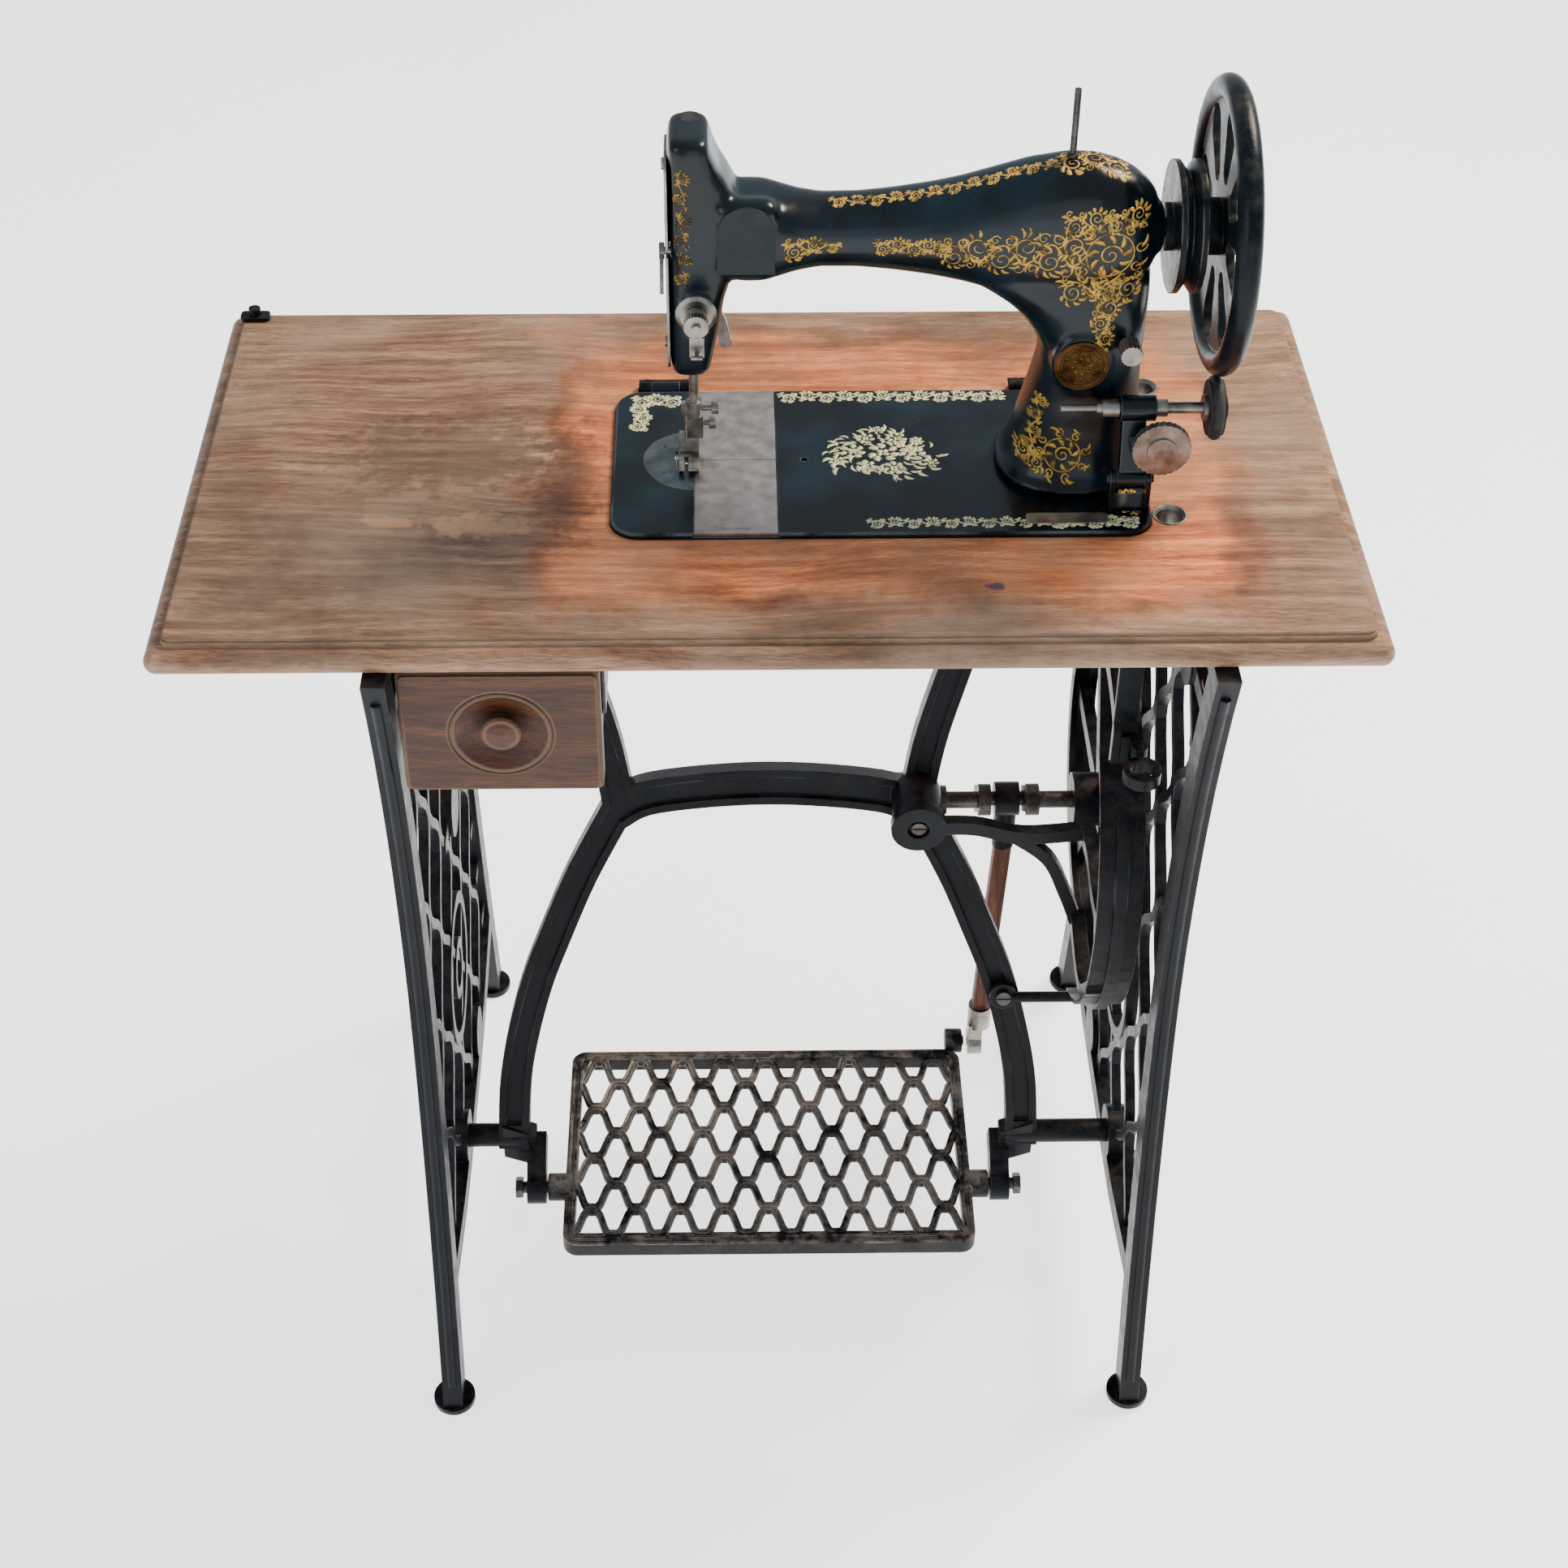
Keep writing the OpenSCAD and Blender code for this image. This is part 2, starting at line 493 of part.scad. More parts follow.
// ---- head ----
module bed() color(iron) difference() {
  union() {
    translate([bed_cx, bed_cy, table_h - 8]) linear_extrude(11) rounded(bed_w, bed_d, 20);
    translate([bed_cx, bed_cy, table_h + 2]) linear_extrude(bed_z - table_h - 2)
      rounded(bed_w - 2, bed_d - 2, 19);
    for (x = [bed_cx - 150, bed_cx + 122]) {
      rod_x(10, x - 10.4, x + 10.4, hinge_y, hinge_z);
      block(x - 10.4, x + 10.4, 80, hinge_y, table_h - 3, table_h + 2);
    }
  }
  difference() {
    translate([bed_cx, bed_cy, table_h - 9]) linear_extrude(8) rounded(bed_w - 14, bed_d - 14, 13);
    for (x = [-30, 200]) block(x - 8, x + 8, -62, -34, table_h - 8, table_h);
  }
  block(-50, 7, -100, 90, bed_z - 1.3, bed_z + 1);
  block(-51, 8, -100, 90, bed_z - 2.5, bed_z - 1.3);
  block(-42, -1, -70, 60, table_h - 9, bed_z);
  translate([-50, bed_cy, bed_z - 1.3]) cylinder(r = 36, h = 2);
  block(-76, -50, -16, 7, table_h - 9, bed_z - 1.3);
  for (x = [bed_cx - 150, bed_cx + 122]) rod_x(5.1, x - 12, x + 12, hinge_y, hinge_z);
  rod_z(5, bed_z - 3, bed_z + 1, 27, bed_cy);
}
module needle_plate() color(steel) difference() {
  translate([-50, bed_cy, bed_z - 1.3]) cylinder(r = 35.9, h = 1.3);
  block(-50.01, 0, -60, 60, bed_z - 3, bed_z + 1);
  rod_z(2.6, bed_z - 3, bed_z + 1, -56, needle_y);
  for (x = [-63, -59.5]) block(x - 1, x + 1, -15, 6, bed_z - 3, bed_z + 1);
  rod_z(3, bed_z - 0.5, bed_z + 1, -72, -20);
  rod_z(3, bed_z - 0.5, bed_z + 1, -72, 12);
}
module slide_plate(y0, y1, low) {
  block(-49.8, 6.8, y0, y1, bed_z - 1.6, bed_z);
  block(-50.8, 7.8, y0, y1, low, bed_z - 1.5);
}
module front_slide_plate() color(steel) difference() {
  slide_plate(bed_cy - bed_d / 2 + 1, bed_cy - 0.3, bed_z - 2.4);
  block(-32, -12, -89, -86, bed_z - 0.6, bed_z + 1);
}
module rear_slide_plate() color(steel) slide_plate(bed_cy + 0.3, bed_cy + bed_d / 2 - 1, bed_z - 2.5);
module feed_dog() color(steel) {
  block(-63.8, -62.2, -12, 3, bed_z - 6, bed_z - 0.2);
  block(-60.3, -58.7, -12, 3, bed_z - 6, bed_z - 0.2);
  block(-66, -57, -14, 5, bed_z - 10, bed_z - 6);
  block(-76, -57, -6, -3, bed_z - 10, bed_z - 7);
}
module under_shaft() color(steel) {
  rod_x(10, -44, 214, -48, table_h - 14);
  for (x = [-30, 200]) difference() {
    block(x - 6, x + 6, -58, -38, table_h - 22, table_h - 8);
    rod_x(10, x - 8, x + 8, -48, table_h - 14);
  }
  in_yz(60, 70) polygon(stroke([[-48, table_h - 14], [-20, table_h - 24]], 12));
}
module arm() color(iron) difference() {
  union() {
    intersection() {
      translate([0, bed_cy, shaft_z]) spin_x(concat([[0, -30]], [for (q = curve([[-30, 31],
        [-4, 31], [14, 26.5], [35, 23.5], [60, 24.5], [84, 27], [129, 35], [165, 47],
        [200, 52], [228, 48], [248, 36], [257, 22]], 4)) [q[1], q[0]]], [[0, 257]]));
      translate([0, bed_cy, shaft_z - 10]) in_yz(-40, 262) rounded(62, 130, 25);
    }
    intersection() {
      translate([pillar_x, bed_cy, bed_z]) rotate_extrude() polygon(concat([[0, 0]],
        curve([[53, 0], [49, 4], [45, 12], [41.5, 24], [37.5, 45], [34.5, 84], [34.5, 125],
        [38, 160]], 4), [[0, 160]]));
      block(140, 259, -58, 50, bed_z, bed_z + 170);
    }
    // the flare of the foot toward the needle, and the web under the arm
    translate([0, bed_cy, 0]) in_xz(-26, 26) polygon([[157, bed_z], [168, bed_z + 14],
      [176, bed_z + 43], [186, bed_z + 84], [186, bed_z + 95], [179, bed_z + 108],
      [163, bed_z + 130], [140, bed_z + 144], [140, bed_z + 180], [250, bed_z + 180],
      [256, bed_z + 150], [255, bed_z + 60], [240, bed_z]]);
    translate([-46.5, bed_cy, bed_z + 80]) linear_extrude(168) rounded(37, 52, 9);
    translate([-46.5, bed_cy, bed_z + 247]) linear_extrude(5) rounded(31, 46, 8);
    translate([0, bed_cy, 0]) in_xz(-22, 22) polygon([[-60, bed_z + 250], [-34, bed_z + 250],
      [-30, bed_z + 236], [-20, bed_z + 225], [2, bed_z + 217], [20, bed_z + 209],
      [20, bed_z + 160], [-2, bed_z + 153], [-18, bed_z + 140], [-29, bed_z + 118],
      [-40, bed_z + 100]]);
    translate([-14, bed_cy - 22, bed_z + 192]) rotate([90, 0, 0]) linear_extrude(9.2)
      rounded(44, 54, 10);
    rod_y(40, -40, -20, 211, bed_z + 99);
    rod_x(34, 255, 261, bed_cy, shaft_z);
    rod_y(20, -36, -20, -47, bed_z + 140);
  }
  rod_x(shaft_d + 0.1, -20, 262, bed_cy, shaft_z);
  rod_z(6.6, bed_z + 79, bed_z + 248, needle_x, needle_y);
  rod_z(7.1, bed_z + 79, bed_z + 246, needle_x, presser_y);
  rod_z(8, bed_z + 244, bed_z + 253, needle_x, presser_y);
  rod_z(4.5, bed_z + 210, bed_z + 240, 198, bed_cy);
  rod_y(5.1, -45, -14, 242, bed_z + 114);
  rod_y(6, -38, -26, -47, bed_z + 140);
  for (z = [98, 232]) rod_x(4, -67, -56, bed_cy, bed_z + z);
  rod_y(6.1, 11.5, 22, -40, bed_z + 112);
  rod_x(5.1, -66, -56, -22, bed_z + 178);
}
module face_plate() color(steel) difference() {
  union() {
    translate([-65, bed_cy, bed_z + 166]) rotate([0, -90, 0]) linear_extrude(1.8)
      rounded(156, 46, 8);
    for (z = [98, 232]) translate([-65, bed_cy, bed_z + z]) rotate([0, -90, 0]) {
      translate([0, 0, -8]) cylinder(d = 4, h = 10);
      translate([0, 0, 1.8]) slotted_head(8, 2);
    }
  }
  rod_x(12, -68, -64, -22, bed_z + 178);
}
module arm_cover_plate() color(steel) translate([-14, bed_cy - 31.2, bed_z + 192])
  rotate([90, 0, 0]) linear_extrude(1.4) {
    translate([0, -6]) square([38, 36], center = true);
    translate([0, 6]) intersection() {
      circle(19);
      translate([-20, 0]) square([40, 20]);
    }
  }
module badge() color(brass) translate([211, -40, bed_z + 99]) rotate([90, 0, 0]) difference() {
  cylinder(d = 37, h = 1.6);
  translate([0, 0, 1]) difference() {
    cylinder(d = 33, h = 2);
    translate([0, 0, -1]) cylinder(d = 24, h = 4);
  }
}
module tag_plate() color(brass) translate([205, -78, bed_z]) linear_extrude(0.8) rounded(56, 12, 3);
module spool_pin() color(steel) {
  rod_z(4.5, bed_z + 212, bed_z + 283, 198, bed_cy);
  rod_z(8, bed_z + 236, bed_z + 238, 198, bed_cy);
}
module thread_guides() color(steel) {
  translate([-47, bed_cy - 31, 0]) block(-5, 5, -1.5, 5, bed_z + 105, bed_z + 120);
  translate([-47, bed_cy - 31, 0]) block(-1.5, 1.5, -9, -1, bed_z + 108, bed_z + 110);
  rod_x(3, -51, -43, bed_cy - 40, bed_z + 109);
}
module tension_discs() color(steel) translate([-47, -36, bed_z + 140]) rotate([90, 0, 0]) {
  cylinder(d = 16, h = 2);
  translate([0, 0, 2]) cylinder(d1 = 22, d2 = 28, h = 1.5);
  translate([0, 0, 3.5]) cylinder(d = 22, h = 0.6);
  translate([0, 0, 4.1]) cylinder(d1 = 28, d2 = 22, h = 1.5);
  translate([0, 0, -9]) cylinder(d = 6, h = 33);
}
module tension_spring() color(steel) translate([-47, -41.9, bed_z + 140]) rotate([90, 0, 0])
  for (k = [0 : 3]) translate([0, 0, 1 + 2 * k]) rotate_extrude() translate([6, 0]) circle(d = 2.2);
module tension_nut() color(steel) translate([-47, -50.8, bed_z + 140]) rotate([90, 0, 0])
  difference() {
    cylinder(d = 17, h = 6);
    translate([0, 0, -1]) cylinder(d = 6.1, h = 8);
    for (k = [0 : 23]) rotate(k * 15) translate([8.7, 0, -1]) cylinder(d = 1.4, h = 8);
  }
module needle_bar() color(steel) difference() {
  union() {
    rod_z(6.5, bed_z + 42, bed_z + 210, needle_x, needle_y);
    rod_z(11, bed_z + 40, bed_z + 52, needle_x, needle_y);
    rod_x(4, needle_x, needle_x + 13, needle_y, bed_z + 46);
    rod_x(9, needle_x + 12, needle_x + 17, needle_y, bed_z + 46);
    block(needle_x - 9, needle_x, needle_y - 3, needle_y + 3, bed_z + 41, bed_z + 50);
  }
  rod_z(2, bed_z + 38, bed_z + 50, -56, needle_y);
}
module needle() color(steel) {
  rod_z(2, bed_z + 36, bed_z + 49.9, -56, needle_y);
  rod_z(1.2, bed_z + 22, bed_z + 37, -56, needle_y);
  translate([-56, needle_y, bed_z + 17]) cylinder(d1 = 0.2, d2 = 1.2, h = 5);
}
module presser_bar() color(steel) rod_z(7, bed_z + 10, bed_z + 232, needle_x, presser_y);
module presser_foot() color(steel) difference() {
  union() {
    block(needle_x - 6, needle_x + 6, presser_y - 5, presser_y + 5, bed_z + 12, bed_z + 30);
    rod_x(4, needle_x + 6, needle_x + 11, presser_y, bed_z + 22);
    rod_x(9, needle_x + 10, needle_x + 15, presser_y, bed_z + 22);
    in_yz(-61, -47) polygon([[presser_y + 5, bed_z + 12], [presser_y + 5, bed_z + 8],
      [presser_y - 6, bed_z + 0.4], [-20, bed_z + 0.4], [-24, bed_z + 4], [-23, bed_z + 5],
      [-19, bed_z + 2.4], [presser_y - 7, bed_z + 2.4], [presser_y - 5, bed_z + 12]]);
  }
  rod_z(7, bed_z + 10, bed_z + 32, needle_x, presser_y);
  block(-57.5, -54.5, -26, -3, bed_z - 1, bed_z + 8);
}
module pressure_screw() color(steel) {
  rod_z(8, bed_z + 244, bed_z + 254, needle_x, presser_y);
  difference() {
    rod_z(15, bed_z + 252, bed_z + 258, needle_x, presser_y);
    for (k = [0 : 17]) translate([needle_x, presser_y, 0]) rotate(k * 20)
      rod_z(1.4, bed_z + 251, bed_z + 260, 7.7, 0);
  }
}
module presser_lifter() color(steel) {
  rod_y(6, 12, 24, -40, bed_z + 112);
  rod_y(14, 22.2, 27, -40, bed_z + 112);
  in_xz(22.2, 26) polygon(stroke(curve([[-40, bed_z + 112], [-32, bed_z + 98],
    [-28, bed_z + 80]], 4), 8));
  rod_y(9, 22.2, 27, -28, bed_z + 80);
}
module take_up_lever() color(steel) {
  rod_x(5, -71, -57, -22, bed_z + 178);
  rod_x(11, -71, -67.4, -22, bed_z + 178);
  difference() {
    in_yz(-70.5, -68) polygon(stroke(curve([[-22, bed_z + 178], [-36, bed_z + 170],
      [-44, bed_z + 158]], 4), 6));
    rod_x(2, -72, -66, -44, bed_z + 161);
  }
}
module main_shaft() color(steel) rod_x(shaft_d, -18, 318, bed_cy, shaft_z);
module belt_pulley() color(iron) difference() {
  translate([belt_x, bed_cy, shaft_z]) rotate([0, 90, 0]) rotate_extrude() polygon([[6, -14],
    [16, -14], [16, -9], [44, -9], [44, -5], [37, 0], [44, 5], [44, 9], [20, 9], [6, 12]]);
  rod_x(shaft_d, 255, 295, bed_cy, shaft_z);
}
module handwheel() color(iron) difference() {
  union() {
    translate([302, bed_cy, shaft_z]) rotate([0, 90, 0]) {
      rotate_extrude() translate([hand_r - 8.5, 0]) circle(8.5);
      translate([0, 0, -3]) cylinder(r = hand_r - 9, h = 6);
      translate([0, 0, -14]) cylinder(r = 19, h = 24);
    }
  }
  for (k = [0 : 7]) translate([0, bed_cy, shaft_z]) rotate([45 * k, 0, 0]) {
    rod_x(30, 290, 312, 0, 68);
    rod_x(18, 290, 312, 0, 40);
    in_yz(290, 312) polygon([[-15, 68], [15, 68], [9, 40], [-9, 40]]);
  }
  rod_x(shaft_d, 280, 315, bed_cy, shaft_z);
}
module clutch_nut() color(steel) difference() {
  translate([312.4, bed_cy, shaft_z]) rotate([0, 90, 0]) {
    cylinder(d = 32, h = 8);
    translate([0, 0, 8]) cylinder(d1 = 28, d2 = 18, h = 4);
  }
  for (k = [0 : 23]) translate([0, bed_cy, shaft_z]) rotate([k * 15, 0, 0])
    rod_x(2, 310, 330, 0, 16.3);
  rod_x(shaft_d + 0.1, 310, 319, bed_cy, shaft_z);
}
module stitch_knob() color(steel) {
  rod_y(5, -40, -15, 242, bed_z + 114);
  difference() {
    rod_y(15, -54, -39.4, 242, bed_z + 114);
    for (k = [0 : 17]) translate([242, 0, bed_z + 114]) rotate([0, k * 20, 0])
      rod_y(1.6, -56, -38, 7.8, 0);
  }
}
module winder_bracket() color(iron) {
  difference() {
    union() {
      block(234, 262, -70, -54, bed_z, bed_z + 4);
      for (x = [234, 258.6]) {
        block(x, x + 3.4, -68, -56, bed_z, bed_z + 22);
        rod_x(12, x, x + 3.4, -62, bed_z + 22);
      }
    }
    rod_x(6, 230, 270, -62, bed_z + 22);
  }
  rod_x(6, 232, 264, -62, bed_z + 22);
}
module winder_frame() color(iron) difference() {
  union() {
    rod_x(18, 238, 262, winder_y, winder_z);
    rod_x(14, 238, 258, -62, bed_z + 22);
    in_yz(240, 256) polygon(stroke([[winder_y, winder_z], [-61, bed_z + 22]], 9));
    in_xz(-64, -59) polygon(stroke([[248, bed_z + 46], [264, bed_z + 50]], 14));
    rod_y(14, -64, -59, 266, bed_z + 50);
  }
  rod_x(8.1, 230, 270, winder_y, winder_z);
  rod_x(6.1, 230, 270, -62, bed_z + 22);
  rod_y(5.1, -66, -57, 266, bed_z + 50);
}
module winder_spindle() color(steel) {
  rod_x(8, 222, 300, winder_y, winder_z);
  rod_x(12, 226, 237.4, winder_y, winder_z);
  rod_x(5, 198, 226, winder_y, winder_z);
  rod_x(12, 262.6, 270, winder_y, winder_z);
  rod_x(18, 294, 297, winder_y, winder_z);
}
module winder_tyre() color(rubber) translate([302, winder_y, winder_z]) rotate([0, 90, 0])
  difference() {
    union() {
      translate([0, 0, -5]) cylinder(r = tyre_r - 3, h = 10);
      rotate_extrude() translate([tyre_r - 4, 0]) circle(4);
      translate([0, 0, 4]) cylinder(r = 8, h = 4);
    }
    translate([0, 0, -6]) cylinder(d = 8, h = 4);
  }
module winder_disc() color(steel) {
  difference() {
    rod_y(40, -70, -64.4, 266, bed_z + 50);
    for (k = [0 : 29]) translate([266, 0, bed_z + 50]) rotate([0, k * 12, 0])
      rod_y(1.6, -72, -63, 20.2, 0);
  }
  rod_y(20, -72, -69, 266, bed_z + 50);
  rod_y(5, -70, -59, 266, bed_z + 50);
}

side_frame_left();
side_frame_right();
foot_pads();
rear_brace();
brace_bolts();
dress_guard();
treadle_pivot_screws();
table_screws();
table_top();
belt_hole_bushes();
hinge_leaves();
corner_catch();
drawer_runners();
small_screws();
drawer_front();
drawer_sides();
drawer_back();
drawer_bottom();
drawer_knob();
treadle_plate();
band_wheel();
crankshaft();
pitman_rod();
pitman_bearing();
pitman_socket();
belt_shifter();
shifter_bracket();
bed();
arm();
face_plate();
arm_cover_plate();
needle_plate();
front_slide_plate();
rear_slide_plate();
feed_dog();
badge();
tag_plate();
spool_pin();
thread_guides();
tension_discs();
tension_spring();
tension_nut();
needle_bar();
needle();
presser_bar();
presser_foot();
pressure_screw();
presser_lifter();
take_up_lever();
main_shaft();
handwheel();
belt_pulley();
clutch_nut();
stitch_knob();
winder_bracket();
winder_frame();
winder_spindle();
winder_tyre();
winder_disc();
under_shaft();
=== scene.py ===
# %% [markdown]
# # A treadle sewing table, dressed for its portrait
# The table is a cast iron stand with a wooden top, a small drawer, a treadle with
# its band wheel, and a black sewing head that tips back on two hinges. The model
# of the mechanism comes first and is fixed: every length is already right there.
# This lesson gives it its looks. It softens the castings, lays the gilt ornament,
# and gives each surface the finish that its real material has.

# %% Load the fixed frame
import json
import math
import random
import bpy
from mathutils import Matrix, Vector


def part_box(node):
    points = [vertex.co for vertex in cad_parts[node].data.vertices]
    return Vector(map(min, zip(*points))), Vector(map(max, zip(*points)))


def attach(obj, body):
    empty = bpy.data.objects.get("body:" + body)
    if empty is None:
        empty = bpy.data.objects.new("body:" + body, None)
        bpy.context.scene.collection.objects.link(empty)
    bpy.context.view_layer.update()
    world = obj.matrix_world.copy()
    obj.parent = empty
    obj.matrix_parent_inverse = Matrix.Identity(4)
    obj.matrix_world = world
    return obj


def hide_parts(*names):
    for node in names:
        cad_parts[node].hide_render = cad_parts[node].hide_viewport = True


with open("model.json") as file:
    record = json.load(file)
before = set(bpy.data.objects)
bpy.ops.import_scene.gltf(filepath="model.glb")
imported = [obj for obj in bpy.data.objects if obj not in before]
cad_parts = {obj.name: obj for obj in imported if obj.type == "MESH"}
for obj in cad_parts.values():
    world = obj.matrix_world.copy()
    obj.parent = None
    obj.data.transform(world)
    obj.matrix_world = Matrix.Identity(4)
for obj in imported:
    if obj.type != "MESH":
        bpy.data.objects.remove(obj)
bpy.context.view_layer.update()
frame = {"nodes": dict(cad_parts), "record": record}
bodies_of = {n: b for b, ns in frame["record"]["behaviour"]["bodies"].items() for n in ns}

# %% [markdown]
# ## Colours and nodes
# A paint chart gives a colour as a hex code made for screens. The renderer works
# with light, so each code is turned to linear values first. Adding a node always
# takes the same three steps: make it, set it, and join it to the ones before.
# One small helper does these steps, so that a material reads like a recipe.

# %% Helpers for colours and nodes
def linear(code):
    """A screen colour such as "8a5a3c" as the linear colour that a shader needs."""
    parts = [int(code[i:i + 2], 16) / 255 for i in (0, 2, 4)]
    return [p / 12.92 if p <= 0.04045 else ((p + 0.055) / 1.055) ** 2.4 for p in parts] + [1]


def add(mat, kind, inputs=None, stops=None, **settings):
    """Adds a node. An input is a value, or a pair (node, output) to join it to."""
    made = mat.node_tree.nodes.new("ShaderNode" + kind)
    for key, value in settings.items():
        setattr(made, key, value)
    for key, value in (inputs or {}).items():
        if isinstance(value, tuple) and hasattr(value[0], "outputs"):
            mat.node_tree.links.new(value[0].outputs[value[1]], made.inputs[key])
        else:
            made.inputs[key].default_value = value
    if stops:
        ramp = made.color_ramp.elements
        while len(ramp) < len(stops):
            ramp.new(0.5)
        for element, (place, code) in zip(ramp, stops):
            element.position = place
            element.color = linear(code)
    return made


def start(name):
    """A new material, its shader, and the coordinates that stay with the object."""
    mat = bpy.data.materials.new(name)
    mat.use_nodes = True
    return mat, mat.node_tree.nodes["Principled BSDF"], add(mat, "TexCoord")


def join(mat, source, output, target, socket):
    """Joins one output to one input."""
    mat.node_tree.links.new(source.outputs[output], target.inputs[socket])


def glaze(mat, mask, under, code):
    """Lays a colour over another one where a mask is high."""
    return add(mat, "MixRGB", {"Fac": (mask, 0), "Color1": (under, 0), "Color2": linear(code)})


def edges(mat, radius, first, full, most=1.0):
    """A softened normal, and a mask of where it leaves the true one: the edges."""
    soft = add(mat, "Bevel", {"Radius": radius}, samples=3)
    flat = add(mat, "NewGeometry")
    turn = add(mat, "VectorMath", {0: (soft, 0), 1: (flat, "Normal")}, operation="DOT_PRODUCT")
    return soft, add(mat, "MapRange", {"Value": (turn, "Value"), "From Min": first,
                                       "From Max": full, "To Max": most})


# %% [markdown]
# ## Black paint on cast iron
# The stand was cast in sand and dipped in black japan, a tar varnish that is
# baked on. To the eye it is a deep blue-black with a low gloss. The sand leaves
# a fine grain of about a millimetre. Brown house dust lies on what faces up, and
# hands and feet have rubbed the edges down to bare grey iron. The bevel node
# feels where an edge is near, and so it shows both the soft edge of the casting
# and where the paint has gone.

# %% Japanned cast iron
def painted_iron(name, deep, pale, gloss, dusty, worn, dust_tint="5d4e43", bare_tint="7d746b"):
    """Black baked paint on a casting, with dust on top and rubbed edges."""
    mat, shader, place = start(name)
    patches = add(mat, "TexNoise", {"Vector": (place, "Object"), "Scale": 28, "Detail": 5})
    paint = add(mat, "ValToRGB", {"Fac": (patches, "Fac")}, [(0.35, deep), (0.7, pale)])
    facing = add(mat, "SeparateXYZ", {"Vector": (place, "Normal")})
    upward = add(mat, "MapRange", {"Value": (facing, "Z"), "From Min": 0.1, "From Max": 0.9,
                                   "To Min": 0.12})
    specks = add(mat, "TexNoise", {"Vector": (place, "Object"), "Scale": 75, "Detail": 8,
                                   "Roughness": 0.7})
    dirt = add(mat, "MapRange", {"Value": (specks, "Fac"), "From Min": 0.42, "From Max": 0.78})
    dust = add(mat, "Math", {0: (upward, 0), 1: (dirt, 0)}, operation="MULTIPLY")
    dust = add(mat, "Math", {0: (dust, 0), 1: dusty}, operation="MULTIPLY", use_clamp=True)
    brown = glaze(mat, dust, paint, dust_tint)
    soft, edge = edges(mat, 0.0014, 0.985, 0.86)
    rub = add(mat, "MapRange", {"Value": (patches, "Fac"), "From Min": 0.45, "From Max": 0.62})
    bare = add(mat, "Math", {0: (edge, 0), 1: (rub, 0)}, operation="MULTIPLY")
    bare = add(mat, "Math", {0: (bare, 0), 1: worn}, operation="MULTIPLY", use_clamp=True)
    colour = glaze(mat, bare, brown, bare_tint)
    join(mat, colour, 0, shader, "Base Color")
    rough = add(mat, "MapRange", {"Value": (specks, "Fac"), "From Min": 0.3, "From Max": 0.8,
                                  "To Min": gloss, "To Max": gloss + 0.28})
    join(mat, rough, 0, shader, "Roughness")
    join(mat, bare, 0, shader, "Metallic")
    shader.inputs["Specular IOR Level"].default_value = 0.13
    grain = add(mat, "TexNoise", {"Vector": (place, "Object"), "Scale": 700, "Detail": 3})
    bump = add(mat, "Bump", {"Height": (grain, "Fac"), "Strength": 0.22, "Distance": 0.0006,
                             "Normal": (soft, 0)})
    join(mat, bump, 0, shader, "Normal")
    return mat


cast_iron = painted_iron("japanned_cast_iron", "03060a", "0b1118", 0.28, 0.35, 0.6)
treadle_iron = painted_iron("trodden_cast_iron", "0b0c0e", "1c1d1f", 0.34, 1.7, 2.2,
                            "776d63", "b5a99c")
rubbed_iron = painted_iron("rubbed_black_wheel", "050a0d", "0e1a20", 0.22, 0.5, 1.8,
                           "5a5047", "857b70")
print("cast iron finishes:", cast_iron.name, treadle_iron.name, rubbed_iron.name)

# %% [markdown]
# ## Enamel of the sewing head
# The head got many coats of the same japan, each rubbed flat, and a clear coat.
# It is nearly a black mirror. A century of oil and polishing leaves it slightly
# cloudy, with hair-fine scratches. A clear coat over a black base gives this depth.
# Along the sharp rim of the bed a pale grey is laid on, partly as paint polished through to
# metal and partly as a painted highlight on the edge.

# %% Black enamel
SMOOTH, CLOUDY = 0.16, 0.40
enamel, shader, place = start("black_enamel")
cloud = add(enamel, "TexNoise", {"Vector": (place, "Object"), "Scale": 22, "Detail": 6})
tone = add(enamel, "ValToRGB", {"Fac": (cloud, "Fac")}, [(0.4, "02070a"), (0.75, "061f29")])
speck = add(enamel, "TexNoise", {"Vector": (place, "Object"), "Scale": 420, "Detail": 4})
chips = add(enamel, "MapRange", {"Value": (speck, "Fac"), "From Min": 0.70, "From Max": 0.76,
                                 "To Max": 0.5})
tone = glaze(enamel, chips, tone, "5b4a38")
# pale grey on sharp edges: rubbed-through paint, and a painted highlight along the rim of the
# bed
soft, edge = edges(enamel, 0.0014, 0.98, 0.86, 0.75)
rub = add(enamel, "MapRange", {"Value": (cloud, "Fac"), "From Min": 0.36, "From Max": 0.5})
worn = add(enamel, "Math", {0: (edge, 0), 1: (rub, 0)}, operation="MULTIPLY")
tone = glaze(enamel, worn, tone, "8c8d88")
join(enamel, tone, 0, shader, "Base Color")
rough = add(enamel, "MapRange", {"Value": (cloud, "Fac"), "From Min": 0.3, "From Max": 0.75,
                                 "To Min": SMOOTH, "To Max": CLOUDY})
join(enamel, rough, 0, shader, "Roughness")
shader.inputs["Specular IOR Level"].default_value = 0.24
shader.inputs["Coat Weight"].default_value = 0.10
shader.inputs["Coat Roughness"].default_value = 0.12
ripple = add(enamel, "Bump", {"Height": (cloud, "Fac"), "Strength": 0.12, "Distance": 0.002,
                              "Normal": (soft, 0)})
join(enamel, ripple, 0, shader, "Normal")
print("enamel roughness", SMOOTH, "to", CLOUDY)

# %% [markdown]
# ## Bright metal that has dulled
# The small steel parts were ground and plated with nickel. Old nickel is a warm
# grey with brown rust freckles, and fine scratches run along it. Metal has no
# colour under its surface, so the shader is fully metallic, and only its tint
# and its roughness change from place to place.

